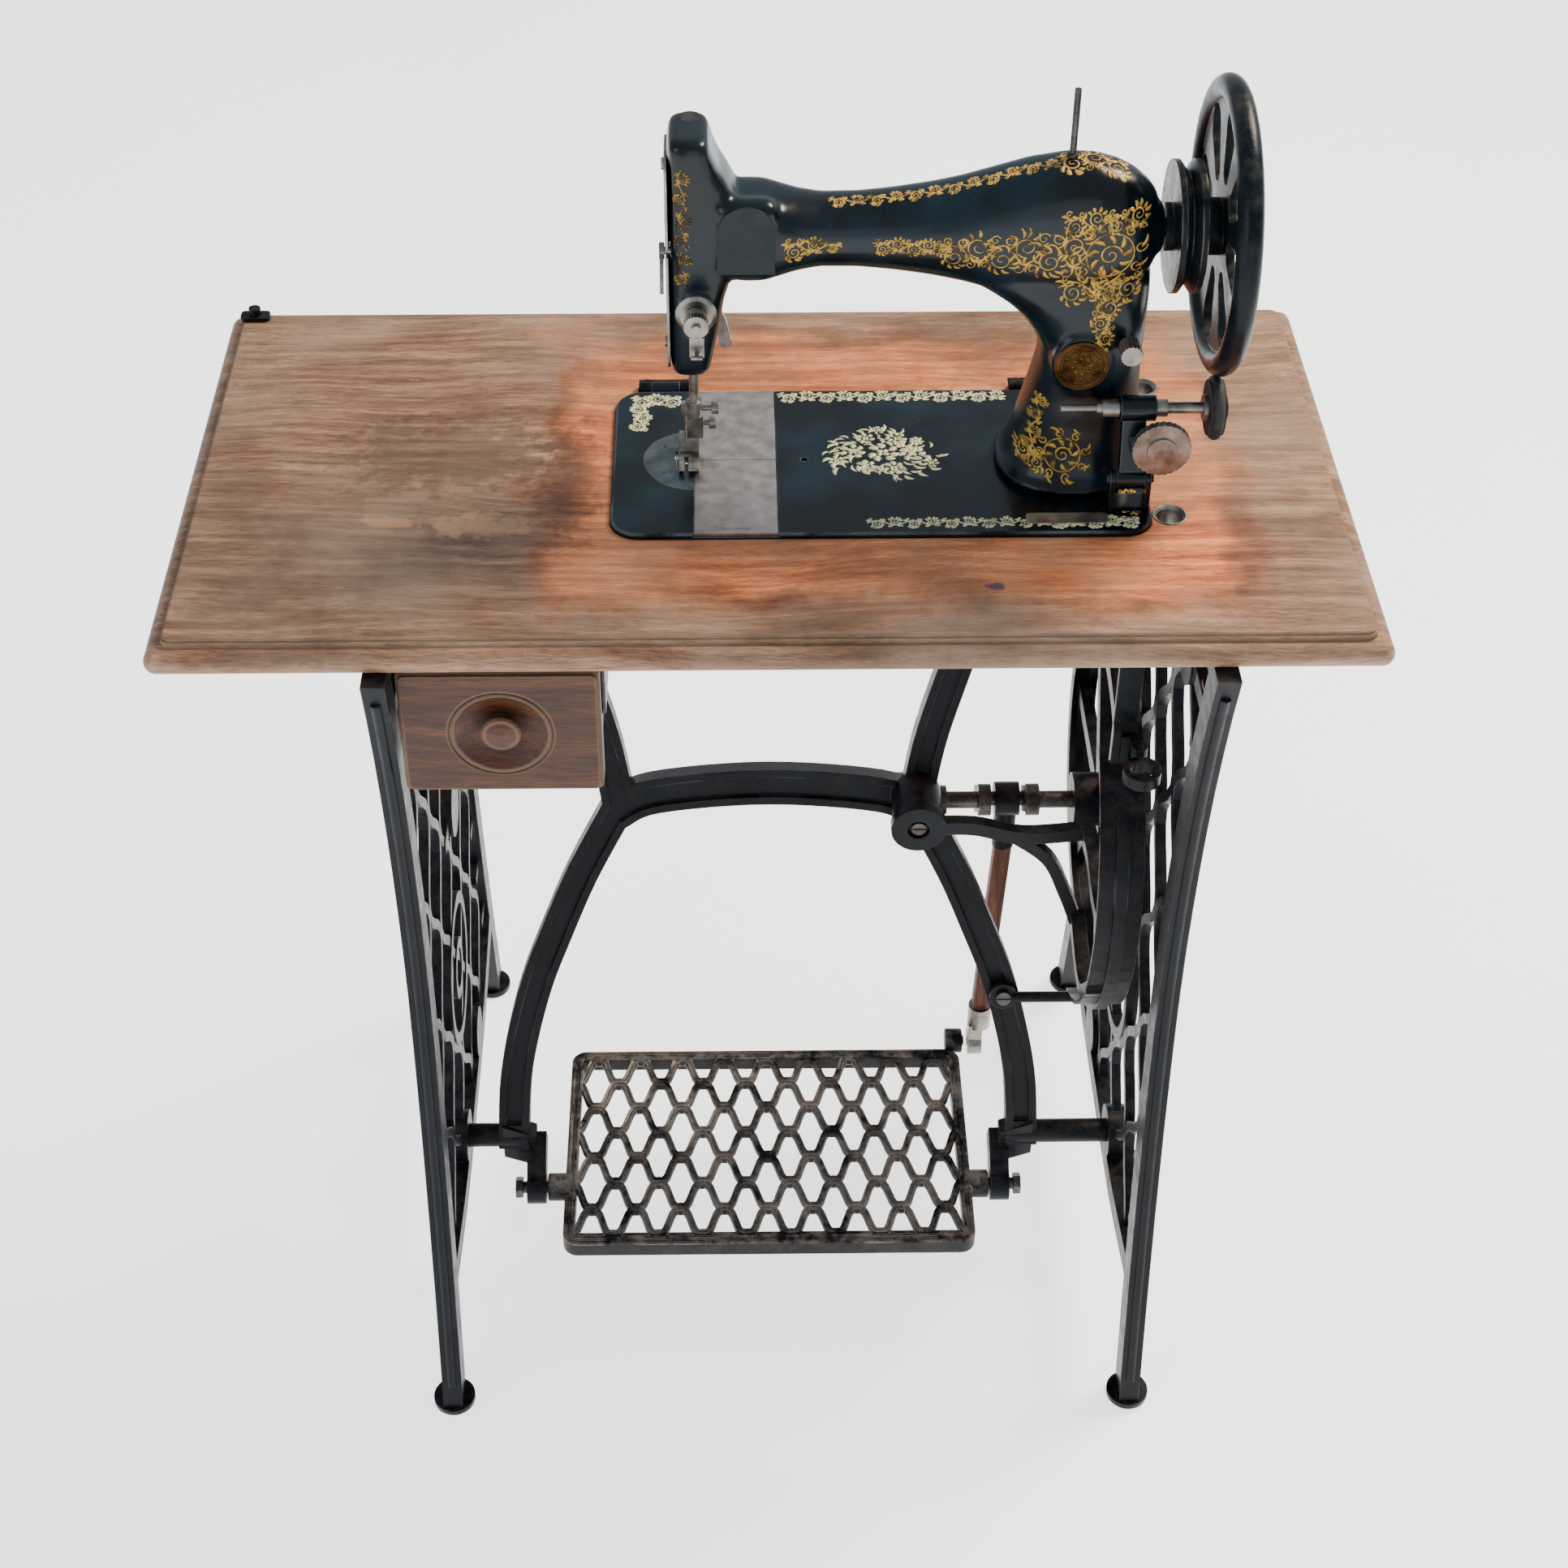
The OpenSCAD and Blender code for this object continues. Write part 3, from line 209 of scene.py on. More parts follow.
# %% Nickel, raw steel, brass
def plated(name, bright, dull, rust, gloss, freckles):
    """Ground metal with a thin bright skin, rust freckles and fine scratches."""
    mat, shader, place = start(name)
    haze = add(mat, "TexNoise", {"Vector": (place, "Object"), "Scale": 90, "Detail": 6})
    tint = add(mat, "ValToRGB", {"Fac": (haze, "Fac")}, [(0.35, dull), (0.65, bright)])
    spots = add(mat, "TexNoise", {"Vector": (place, "Object"), "Scale": 260, "Detail": 7,
                                  "Roughness": 0.75})
    rusty = add(mat, "MapRange", {"Value": (spots, "Fac"), "From Min": freckles,
                                  "From Max": freckles + 0.12})
    tint = glaze(mat, rusty, tint, rust)
    join(mat, tint, 0, shader, "Base Color")
    lines = add(mat, "Mapping", {"Vector": (place, "Object"), "Scale": (60, 1500, 1500)})
    lines = add(mat, "TexNoise", {"Vector": (lines, 0), "Scale": 1, "Detail": 3})
    rough = add(mat, "MapRange", {"Value": (haze, "Fac"), "From Min": 0.3, "From Max": 0.7,
                                  "To Min": gloss, "To Max": gloss + 0.2})
    join(mat, rough, 0, shader, "Roughness")
    shader.inputs["Metallic"].default_value = 0.95
    soft = add(mat, "Bevel", {"Radius": 0.0006}, samples=3)
    bump = add(mat, "Bump", {"Height": (lines, "Fac"), "Strength": 0.15, "Distance": 0.0003,
                             "Normal": (soft, 0)})
    join(mat, bump, 0, shader, "Normal")
    return mat


nickel = plated("worn_nickel_plate", "a29d93", "6f6a63", "4a382b", 0.30, 0.60)
raw_steel = plated("oiled_steel", "5d5a57", "3a3735", "3a2a20", 0.36, 0.52)
brass = plated("tarnished_brass", "8e6c38", "533c1d", "2e2114", 0.36, 0.55)
ground_steel = plated("ground_steel", "b5aaa4", "a3978f", "6d5a4d", 0.26, 0.66)
plate_steel = plated("smooth_needle_plate", "666d6e", "525a5c", "3a3531", 0.28, 0.68)
dark_steel = plated("blued_steel_cover", "303536", "24292a", "1d1c1b", 0.36, 0.72)
old_bronze = plated("dark_bronze_medal", "5c4023", "35230f", "1d140b", 0.40, 0.60)
print("bright metals:", nickel.name, raw_steel.name, brass.name, ground_steel.name)

# %% [markdown]
# ## Aged rubber
# The small tyre of the bobbin winder is moulded rubber. It is dark, it scatters
# the light, and age gives it a grey bloom.

# %% Rubber
rubber, shader, place = start("aged_rubber")
haze = add(rubber, "TexNoise", {"Vector": (place, "Object"), "Scale": 160, "Detail": 5})
haze = add(rubber, "ValToRGB", {"Fac": (haze, "Fac")}, [(0.4, "141312"), (0.7, "2b2825")])
join(rubber, haze, 0, shader, "Base Color")
shader.inputs["Roughness"].default_value = 0.72
print("rubber ready")

# %% [markdown]
# ## Wood
# The top is a wide board with the grain along its length. Wood pores are narrow
# and long, so a noise is stretched: 8 mm bands with fibres of about a millimetre
# across the grain, and 14 times longer along it. Sun has bleached the board to a
# grey brown, but a cover stood over the head for years, and there the old red
# varnish is left. A soft-edged box mask around the bed keeps that red, with a dark
# ring at its rim. Rubbing leaves pale marks, and broad dark blotches stand for oily
# grime and also for the soft shadow that the head casts on the top, painted in. A short
# list of spots adds two patches of painted shadow left of the bed, two scuffs and a
# drop of ink, all with ragged rims.

# %% Wood recipe
GRAIN = 0.07            # how far the noise is stretched along the grain


def board(name, dark, mid, light, along, bleach, gloss, fine=900):
    """Varnished wood. along is the axis of the grain, 0, 1 or 2."""
    mat, shader, place = start(name)
    stretch = [1.0, 1.0, 1.0]
    stretch[along] = GRAIN
    wander = add(mat, "TexNoise", {"Vector": (place, "Object"), "Scale": 3.5, "Detail": 2})
    shifted = add(mat, "VectorMath", {0: (wander, "Color"), 1: (0.045, 0.045, 0.045)},
                  operation="MULTIPLY")
    shifted = add(mat, "VectorMath", {0: (place, "Object"), 1: (shifted, 0)}, operation="ADD")
    lay = add(mat, "Mapping", {"Vector": (shifted, 0), "Scale": stretch})
    bands = add(mat, "TexNoise", {"Vector": (lay, 0), "Scale": 120, "Detail": 8,
                                  "Roughness": 0.66})
    tone = add(mat, "ValToRGB", {"Fac": (bands, "Fac")},
               [(0.28, dark), (0.48, mid), (0.66, light)])
    fibres = add(mat, "TexNoise", {"Vector": (lay, 0), "Scale": fine, "Detail": 3})
    pores = add(mat, "MapRange", {"Value": (fibres, "Fac"), "From Min": 0.36,
                                  "From Max": 0.54, "To Min": 0.55, "To Max": 1.0})
    tone = add(mat, "MixRGB", {"Fac": 1, "Color1": (tone, 0), "Color2": (pores, 0)},
               blend_type="MULTIPLY")
    stains = add(mat, "TexNoise", {"Vector": (place, "Object"), "Scale": 7, "Detail": 6,
                                   "Roughness": 0.6})
    pale = add(mat, "MapRange", {"Value": (stains, "Fac"), "From Min": 0.42,
                                 "From Max": 0.68, "To Max": bleach})
    tone = glaze(mat, pale, tone, "a08874")
    soft, edge = edges(mat, 0.0025, 0.99, 0.88, 0.55)
    tone = glaze(mat, edge, tone, "b08d6c")
    rough = add(mat, "MapRange", {"Value": (stains, "Fac"), "From Min": 0.3, "From Max": 0.7,
                                  "To Min": gloss, "To Max": gloss + 0.22})
    join(mat, rough, 0, shader, "Roughness")
    height = add(mat, "Math", {0: (bands, "Fac"), 1: (fibres, "Fac")}, operation="ADD")
    bump = add(mat, "Bump", {"Height": (height, 0), "Strength": 0.35, "Distance": 0.0008,
                             "Normal": (soft, 0)})
    join(mat, bump, 0, shader, "Normal")
    join(mat, tone, 0, shader, "Base Color")
    shader.inputs["Specular IOR Level"].default_value = 0.3
    return mat, shader, place, tone, stains


drawer_wood, *_ = board("varnished_drawer_wood", "241105", "3f1f0b", "5a3113", 0, 0.04, 0.40)
inner_wood, *_ = board("bare_drawer_sides", "5f4128", "86603c", "a27c52", 1, 0.35, 0.62)
ash, *_ = board("dry_ash_rod", "3a1d14", "5c3122", "7a4a35", 2, 0.25, 0.6)
top_wood, shader, place, tone, stains = board("sun_bleached_top", "5a3c28", "8c664b",
                                              "b58e6f", 0, 0.52, 0.42, 1300)
print("woods:", drawer_wood.name, inner_wood.name, ash.name, top_wood.name)

# %% The red patch, the dark marks and painted shadow, and the spots on the top
lo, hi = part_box("bed")
middle = (lo + hi) / 2
bed_box_top = hi.z
reach = (0.235, 0.165)
apart = add(top_wood, "VectorMath", {0: (place, "Object"), 1: (middle.x + 0.01, middle.y, 0)},
            operation="SUBTRACT")
wobble = add(top_wood, "TexNoise", {"Vector": (place, "Object"), "Scale": 16, "Detail": 6})
axes = add(top_wood, "SeparateXYZ", {"Vector": (apart, 0)})
inside = []
for axis, far in zip("XY", reach):
    off = add(top_wood, "Math", {0: (axes, axis)}, operation="ABSOLUTE")
    off = add(top_wood, "Math", {0: (wobble, "Fac"), 1: -0.09, 2: (off, 0)},
              operation="MULTIPLY_ADD")
    inside.append(add(top_wood, "MapRange", {"Value": (off, 0), "From Min": far - 0.028,
                                             "From Max": far - 0.062}))
red = add(top_wood, "Math", {0: (inside[0], 0), 1: (inside[1], 0)}, operation="MULTIPLY")
warm = add(top_wood, "MixRGB", {"Fac": 1, "Color1": (tone, 0), "Color2": (2.5, 1.3, 0.68, 1)},
           blend_type="MULTIPLY")
vary = add(top_wood, "MapRange", {"Value": (stains, "Fac"), "From Min": 0.36, "From Max": 0.62,
                                  "To Min": 1.0, "To Max": 0.5})
part = add(top_wood, "Math", {0: (red, 0), 1: (vary, 0)}, operation="MULTIPLY")
tone = add(top_wood, "MixRGB", {"Fac": (part, 0), "Color1": (tone, 0), "Color2": (warm, 0)})
ring = add(top_wood, "Math", {0: (red, 0), 1: 0.5}, operation="SUBTRACT")
ring = add(top_wood, "Math", {0: (ring, 0)}, operation="ABSOLUTE")
ring = add(top_wood, "MapRange", {"Value": (ring, 0), "From Min": 0.5, "From Max": 0.1,
                                  "To Max": 0.55})
blot = add(top_wood, "MapRange", {"Value": (stains, "Fac"), "From Min": 0.60,
                                  "From Max": 0.44})
dark = add(top_wood, "Math", {0: (ring, 0), 1: (blot, 0)}, operation="MULTIPLY")
tone = glaze(top_wood, dark, tone, "3d2218")
marks = add(top_wood, "TexNoise", {"Vector": (place, "Object"), "Scale": 34, "Detail": 7,
                                   "Roughness": 0.7})
marks = add(top_wood, "MapRange", {"Value": (marks, "Fac"), "From Min": 0.64,
                                   "From Max": 0.70, "To Max": 0.45})
tone = glaze(top_wood, marks, tone, "c39a78")
# broad dark blotches: oily grime, and painted shadow that the head casts on the top
grime_and_shadow = add(top_wood, "TexNoise", {"Vector": (place, "Object"), "Scale": 4.5, "Detail": 7,
                                   "Roughness": 0.65})
grime_and_shadow = add(top_wood, "MapRange", {"Value": (grime_and_shadow, "Fac"), "From Min": 0.50,
                                   "From Max": 0.66, "To Max": 0.6})
tone = glaze(top_wood, grime_and_shadow, tone, "4b382b")
crumble = add(top_wood, "TexNoise", {"Vector": (place, "Object"), "Scale": 75, "Detail": 8,
                                     "Roughness": 0.7})
for name, dx, dy, rx, ry, strength, code in (
        # the first two spots are painted shadow of the head, cast on the top to the left of the
        # bed
        ("old shade", -0.300, 0.010, 0.085, 0.052, 0.5, "4b3a2c"),
        ("shade by the bed", -0.215, -0.030, 0.026, 0.080, 0.4, "46301f"),
        ("long scuff", -0.275, -0.078, 0.040, 0.014, 0.65, "b98a66"),
        ("short scuff", -0.338, -0.072, 0.020, 0.008, 0.6, "b98a66"),
        ("ink spot", 0.074, -0.150, 0.008, 0.005, 0.8, "2b2c52")):
    spot = add(top_wood, "VectorMath", {0: (place, "Object"),
                                        1: (middle.x + dx, middle.y + dy, bed_box_top)},
               operation="SUBTRACT")
    spot = add(top_wood, "VectorMath", {0: (spot, 0), 1: (1 / rx, 1 / ry, 1)},
               operation="MULTIPLY")
    spot = add(top_wood, "VectorMath", {0: (spot, 0)}, operation="LENGTH")
    spot = add(top_wood, "Math", {0: (crumble, "Fac"), 1: 3.4, 2: (spot, "Value")},
               operation="MULTIPLY_ADD")
    spot = add(top_wood, "MapRange", {"Value": (spot, 0), "From Min": 2.75, "From Max": 2.3,
                                      "To Max": strength})
    tone = glaze(top_wood, spot, tone, code)
join(top_wood, tone, 0, shader, "Base Color")
shader.inputs["Specular IOR Level"].default_value = 0.26
print("red patch reaches", reach, "m from the middle of the bed")

# %% [markdown]
# ## Gold leaf
# The ornament is a transfer of real gold leaf under varnish. Where hands passed
# it has worn to brown, or is gone. It is thin, soft and warm, more satin than
# mirror. A noise drops the gold to a brown ghost in places.

# %% Gilt transfer
def gilt_finish(name, bright, ghost, lost):
    """Old gold leaf; lost says how much of it has worn to its brown size."""
    mat, shader, place = start(name)
    wear = add(mat, "TexNoise", {"Vector": (place, "Object"), "Scale": 130, "Detail": 6,
                                 "Roughness": 0.7})
    keep = add(mat, "MapRange", {"Value": (wear, "Fac"), "From Min": lost,
                                 "From Max": lost + 0.14})
    tint = add(mat, "MixRGB", {"Fac": (keep, 0), "Color1": linear(ghost),
                               "Color2": linear(bright)})
    join(mat, tint, 0, shader, "Base Color")
    shader.inputs["Metallic"].default_value = 0.35
    shader.inputs["Roughness"].default_value = 0.42
    return mat


gilt = gilt_finish("gold_leaf_transfer", "c79e44", "5c431b", 0.38)
worn_gilt = gilt_finish("rubbed_gold_transfer", "a97f38", "3c2b13", 0.46)
cream_gilt = gilt_finish("pale_gold_transfer", "ddd6a4", "7d7750", 0.33)
print("gilt ready")

# %% [markdown]
# ## Giving every fixed node its finish
# Each node names its slot in the record, and most nodes take the finish of that
# slot. A few take a special one, such as the trodden treadle.

# %% Finishes by slot
by_slot = {"cast_iron": cast_iron, "black_enamel": enamel, "steel": nickel,
           "oak_top": top_wood, "drawer_wood": drawer_wood, "ash_rod": ash,
           "brass": brass, "rubber": rubber}
special = {"treadle_plate": treadle_iron, "small_screws": raw_steel,
           "treadle_pivot_screws": raw_steel, "crankshaft": raw_steel,
           "drawer_runners": raw_steel, "under_shaft": raw_steel,
           "arm_cover_plate": dark_steel, "badge": old_bronze, "spool_pin": raw_steel,
           "needle_plate": plate_steel, "front_slide_plate": ground_steel,
           "rear_slide_plate": ground_steel, "tag_plate": ground_steel,
           "handwheel": rubbed_iron, "belt_pulley": rubbed_iron,
           "pressure_screw": raw_steel,
           "drawer_sides": inner_wood, "drawer_back": inner_wood,
           "drawer_bottom": inner_wood}
finish_of = {}
for part in frame["record"]["subparts"]:
    finish_of[part["node"]] = special.get(part["node"], by_slot[part["material_slot"]])
for name, node in frame["nodes"].items():
    node.data.materials.clear()
    node.data.materials.append(finish_of[name])
print("finished nodes:", len(finish_of))

# %% [markdown]
# ## The arm and its pillar
# The arm, the face column and the pillar are one hollow casting. Its form flows:
# a slim waist, a strong elbow, and a foot that flares onto the bed. Boxes and
# cylinders joined at hard lines can't give that. So three skins are drawn, each as
# a circle that is extruded ring by ring and then pulled to its true sections. The
# skins and the small bosses are joined, melted into one with a voxel remesh, and
# relaxed. That leaves the fillets that a pattern maker puts in with wax.

# %% Rings pulled into skins
SIDES = 36


def skin(name, rings):
    """A closed skin. Each ring gives its middle, its two half axes, and its squareness."""
    bpy.ops.object.select_all(action="DESELECT")
    bpy.ops.mesh.primitive_circle_add(vertices=SIDES, radius=1, fill_type="NGON")
    piece = bpy.context.object
    piece.name = name
    bpy.ops.object.mode_set(mode="EDIT")
    for _ in rings[1:]:
        bpy.ops.mesh.extrude_region_move(TRANSFORM_OT_translate={"value": (0, 0, 1)})
    bpy.ops.object.mode_set(mode="OBJECT")
    for v in piece.data.vertices:
        middle, across, beside, power = rings[round(v.co.z)]
        turn = math.atan2(v.co.y, v.co.x)
        c, s = math.cos(turn), math.sin(turn)
        c = math.copysign(abs(c) ** (2 / power), c)
        s = math.copysign(abs(s) ** (2 / power), s)
        v.co = Vector(middle) + Vector(across) * c + Vector(beside) * s
    bpy.ops.object.mode_set(mode="EDIT")
    bpy.ops.mesh.select_all(action="SELECT")
    bpy.ops.mesh.normals_make_consistent(inside=False)
    bpy.ops.object.mode_set(mode="OBJECT")
    return piece


def rod(start_at, end_at, radius):
    """A plain boss between two points, to be melted into a casting."""
    a, b = Vector(start_at), Vector(end_at)
    bpy.ops.object.select_all(action="DESELECT")
    bpy.ops.mesh.primitive_cylinder_add(vertices=32, radius=radius, depth=(b - a).length,
                                        location=(a + b) / 2,
                                        rotation=(b - a).to_track_quat("Z", "Y").to_euler())
    bpy.ops.object.transform_apply(location=True, rotation=True, scale=True)
    return bpy.context.object


def use(piece, kind, **settings):
    """Puts a modifier on a piece and applies it."""
    bpy.context.view_layer.objects.active = piece
    made = piece.modifiers.new(kind.lower(), kind)
    for key, value in settings.items():
        setattr(made, key, value)
    bpy.ops.object.modifier_apply(modifier=made.name)


def join_up(name, parts):
    """Joins separate parts into one object."""
    bpy.ops.object.select_all(action="DESELECT")
    for part in parts:
        part.select_set(True)
    bpy.context.view_layer.objects.active = parts[0]
    bpy.ops.object.join()
    parts[0].name = name
    parts[0].data.name = name
    return parts[0]


def stand_for(piece, node, finish):
    """Gives a piece its finish, and lets it take the place of a fixed node."""
    piece.data.materials.clear()
    piece.data.materials.append(finish)
    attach(piece, bodies_of[node])
    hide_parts(node)


# %% Sections of the three skins
lo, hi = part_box("bed")
bed_top = hi.z
line = (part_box("main_shaft")[0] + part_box("main_shaft")[1]) / 2
mm = 0.001
along = []
for x, tall, deep, power in (
        (-42, 27, 25, 3.0), (-28, 29.5, 29, 3.0), (-14, 30.6, 31, 3.2), (-2, 30, 31, 3.2),
        (8, 28, 29.4, 2.8), (20, 25.4, 26.8, 2.5), (35, 23.6, 24.6, 2.3),
        (60, 24.4, 24.4, 2.2), (84, 27, 25.4, 2.2), (108, 30.8, 27, 2.2),
        (129, 35.2, 28.6, 2.3), (150, 41.4, 30, 2.4), (172, 47.8, 31.2, 2.5),
        (196, 51.6, 32, 2.6), (214, 51, 31.8, 2.6), (229, 47, 30.4, 2.5),
        (241, 41, 27.4, 2.4), (250, 33.4, 23, 2.3), (255, 26.5, 19, 2.2), (257, 21, 16, 2.1)):
    along.append(((x * mm, line.y, line.z), (0, 0, tall * mm), (0, deep * mm, 0), power))
arm_skin = skin("arm_skin", along)
upright = []
for z, left, right, deep, power in (
        (80, -63, -40, 21, 3.5), (82, -64.6, -38, 23.4, 4), (88, -65, -37, 25, 4.2),
        (110, -65, -32.5, 26, 4.4), (138, -65, -28, 26.4, 4.6), (165, -65, -20, 27, 4.6),
        (190, -65, -16, 27.2, 4.4), (210, -65, -19, 26.8, 4.4), (222, -65, -25, 26.6, 4.4),
        (232, -65, -31, 26.4, 4.4), (242, -65, -35, 26.2, 4.4), (249, -64.8, -37, 25.8, 4.4),
        (253, -64, -38, 24.6, 4.2), (255, -62, -40, 21, 4)):
    upright.append((((left + right) / 2 * mm, line.y, bed_top + z * mm),
                    ((right - left) / 2 * mm, 0, 0), (0, deep * mm, 0), power))
column_skin = skin("column_skin", upright)
pillar = []
for z, left, right, deep, power in (
        (0, 160, 262, 52, 2.3), (2.5, 160, 262, 51, 2.3), (6, 164, 261, 46.6, 2.3),
        (12, 167, 260, 43, 2.3), (24, 171, 258.6, 40, 2.3), (45, 176, 257.4, 36.8, 2.4),
        (65, 181, 256.6, 35, 2.4), (84, 185, 256, 34, 2.5), (98, 184.6, 256, 33.6, 2.5),
        (110, 179, 256.4, 33.2, 2.5), (122, 170, 256.8, 32.8, 2.5), (133, 158, 257, 32.2, 2.5),
        (142, 144, 257, 31, 2.5), (150, 131, 256.6, 29.6, 2.5), (160, 124, 255, 28, 2.5)):
    pillar.append((((left + right) / 2 * mm, line.y, bed_top + z * mm),
                   ((right - left) / 2 * mm, 0, 0), (0, deep * mm, 0), power))
pillar_skin = skin("pillar_skin", pillar)
print("rings:", len(along), len(upright), len(pillar))

# %% Bosses, melting and relaxing
VOXEL = 0.0019          # the grid of the remesh, in metres
knob = (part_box("tension_nut")[0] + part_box("tension_nut")[1]) / 2
dot = (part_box("badge")[0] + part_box("badge")[1]) / 2
plate_lo, plate_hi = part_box("arm_cover_plate")
plate = (plate_lo + plate_hi) / 2
bosses = [
    rod((knob.x, -0.0358, knob.z), (knob.x, -0.020, knob.z), 0.0105),
    rod((dot.x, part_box("badge")[1].y, dot.z), (dot.x, -0.020, dot.z), 0.0205),
    rod((0.252, line.y, line.z), (0.2612, line.y, line.z), 0.0172)]
bpy.ops.mesh.primitive_cube_add(size=1, location=(plate.x, plate_hi.y + 0.0100, plate.z),
                                scale=(0.042, 0.0200, 0.050))
pad = bpy.context.object
bpy.ops.object.transform_apply(location=True, rotation=True, scale=True)
use(pad, "BEVEL", width=0.008, segments=3)
casting = join_up("arm_casting", [arm_skin, column_skin, pillar_skin, pad] + bosses)
use(casting, "REMESH", mode="VOXEL", voxel_size=VOXEL)
use(casting, "SMOOTH", factor=0.55, iterations=14)
bpy.ops.object.select_all(action="DESELECT")
casting.select_set(True)
bpy.ops.object.shade_smooth()
stand_for(casting, "arm", enamel)
print("arm casting faces:", len(casting.data.polygons))

# %% [markdown]
# ## Gilt scrolls
# The ornament is a printed transfer: vines that curl to left and right, with a
# volute in each bay and small leaves between. Each vine is drawn flat in two
# directions, along and across its band. A curve with a thin bevel gives every
# stroke a body a fifth of a millimetre thick. It is then turned into a mesh, and
# each point is dropped onto the metal along one direction, as a wet transfer is
# slid on and pressed down.

# %% Strokes of a vine
quill = random.Random(7)


def volute(cx, cy, size, hand, start_turn, width, turns=1.6):
    """A curl that tightens to its middle. hand is 1 or -1."""
    points = []
    for i in range(22):
        t = i / 21
        r = size * (1 - t) ** 0.85 + size * 0.08
        a = start_turn + hand * t * turns * 2 * math.pi
        points.append((cx + r * math.cos(a), cy + r * math.sin(a), width * (1 - 0.55 * t)))
    return points


def leaf(x, y, turn, length, width):
    """A pointed leaf with a slight bend."""
    points = []
    for i in range(7):
        t = i / 6
        bend = turn + 0.9 * (t - 0.5)
        points.append((x + length * t * math.cos(bend), y + length * t * math.sin(bend),
                       width * (math.sin(math.pi * min(0.98, t * 0.9 + 0.06))) + 0.00008))
    return points


def vine(length, height, bays, width=0.0007, grow=1.0):
    """A band of scrolls from (0, 0) along x; grow widens the band to its far end."""
    strokes = [[(length * i / 60, (1 + (grow - 1) * i / 60) * 0.22 * height
                 * math.sin(math.pi * bays * i / 60), width) for i in range(61)]]
    for n in range(bays):
        hand = 1 if n % 2 == 0 else -1
        wide = height * (1 + (grow - 1) * (n + 0.5) / bays)
        x = length * (n + 0.5) / bays
        size = min(0.27 * wide, 0.46 * length / bays)
        y = -hand * 0.16 * wide
        strokes.append(volute(x, y, size, hand, hand * math.pi / 2, width))
        for k in range(9):
            turn = -hand * (2.7 - 0.6 * k) + quill.uniform(-0.15, 0.15)
            strokes.append(leaf(x + size * math.cos(turn), y + size * math.sin(turn),
                                turn + 0.6 * hand, 0.24 * wide * quill.uniform(0.7, 1.1),
                                width * 1.7))
        for side in (-1, 1):
            foot = x - side * 0.3 * length / bays
            strokes.append(leaf(foot, 0.15 * wide * hand, math.pi / 2 * hand + side * 0.9,
                                0.3 * wide, width * 1.9))
            strokes.append(volute(foot, hand * 0.34 * wide, 0.11 * wide, side * hand,
                                  0.4 * side, width * 0.8, 1.2))
    return strokes


def flower(x, y, size, petals, width):
    """A rosette: a curl in the middle, a ring of bent petals, and small curls around."""
    strokes = [volute(x, y, size * 0.3, 1, 0, width, 1.5)]
    strokes.append([(x + 0.64 * size * math.cos(b * math.pi / 12),
                     y + 0.64 * size * math.sin(b * math.pi / 12), width * 0.7)
                    for b in range(25)])
    for k in range(petals):
        a = 2 * math.pi * k / petals
        strokes.append(leaf(x + 0.34 * size * math.cos(a), y + 0.34 * size * math.sin(a),
                            a + 0.3, 0.3 * size, width * 2.2))
        cx, cy = x + 0.84 * size * math.cos(a + 0.2), y + 0.84 * size * math.sin(a + 0.2)
        strokes.append(volute(cx, cy, 0.17 * size, 1 if k % 2 else -1, a, width * 0.9, 1.2))
        strokes.append(leaf(cx, cy, a + 0.7, 0.34 * size, width * 1.6))
    return strokes


def bloom(x, y, size):
    """A full rose: two rings of broad petals with dark gaps between them."""
    strokes = []
    for count, near, length, fat in ((7, 0.44, 0.54, 0.27), (4, 0.06, 0.32, 0.19)):
        for k in range(count):
            a = 2 * math.pi * k / count + quill.uniform(-0.15, 0.15) + count
            strokes.append(leaf(x + near * size * math.cos(a), y + near * size * math.sin(a),
                                a, length * size, fat * size))
    return strokes


def bouquet(wide, tall):
    """Roses, buds and leaves heaped in an oval."""
    strokes = []
    for x, y, r in ((0.02, 0.05, 0.24), (-0.42, 0.10, 0.19), (0.44, 0.02, 0.20),
                    (0.16, -0.50, 0.17), (-0.24, -0.44, 0.16), (0.24, 0.56, 0.15),
                    (-0.22, 0.56, 0.14), (-0.66, -0.24, 0.12), (0.70, -0.32, 0.12),
                    (0.52, 0.46, 0.11), (-0.02, 0.86, 0.10)):
        strokes += bloom(x * wide / 2, y * tall / 2, r * wide / 2)
    for k in range(90):
        a = 2 * math.pi * k / 90 + quill.uniform(-0.05, 0.05)
        far = quill.uniform(0.30, 0.84)
        strokes.append(leaf(far * wide / 2 * math.cos(a), far * tall / 2 * math.sin(a),
                            a + quill.uniform(-0.9, 0.9), quill.uniform(0.12, 0.19) * wide / 2,
                            quill.uniform(0.0010, 0.0018)))
    return strokes


# %% Pressing the transfer onto the metal
LIFT = 0.00012          # how far the middle of a stroke stands off the metal
FLAT = 0.12             # how much of its round section a stroke keeps
LEAST = 0.00002


def as_mesh(name, curve):
    """Turns a curve into a mesh object of the scene."""
    made = bpy.data.objects.new(name, curve)
    bpy.context.scene.collection.objects.link(made)
    bpy.ops.object.select_all(action="DESELECT")
    made.select_set(True)
    bpy.context.view_layer.objects.active = made
    bpy.ops.object.convert(target="MESH")
    return bpy.context.object


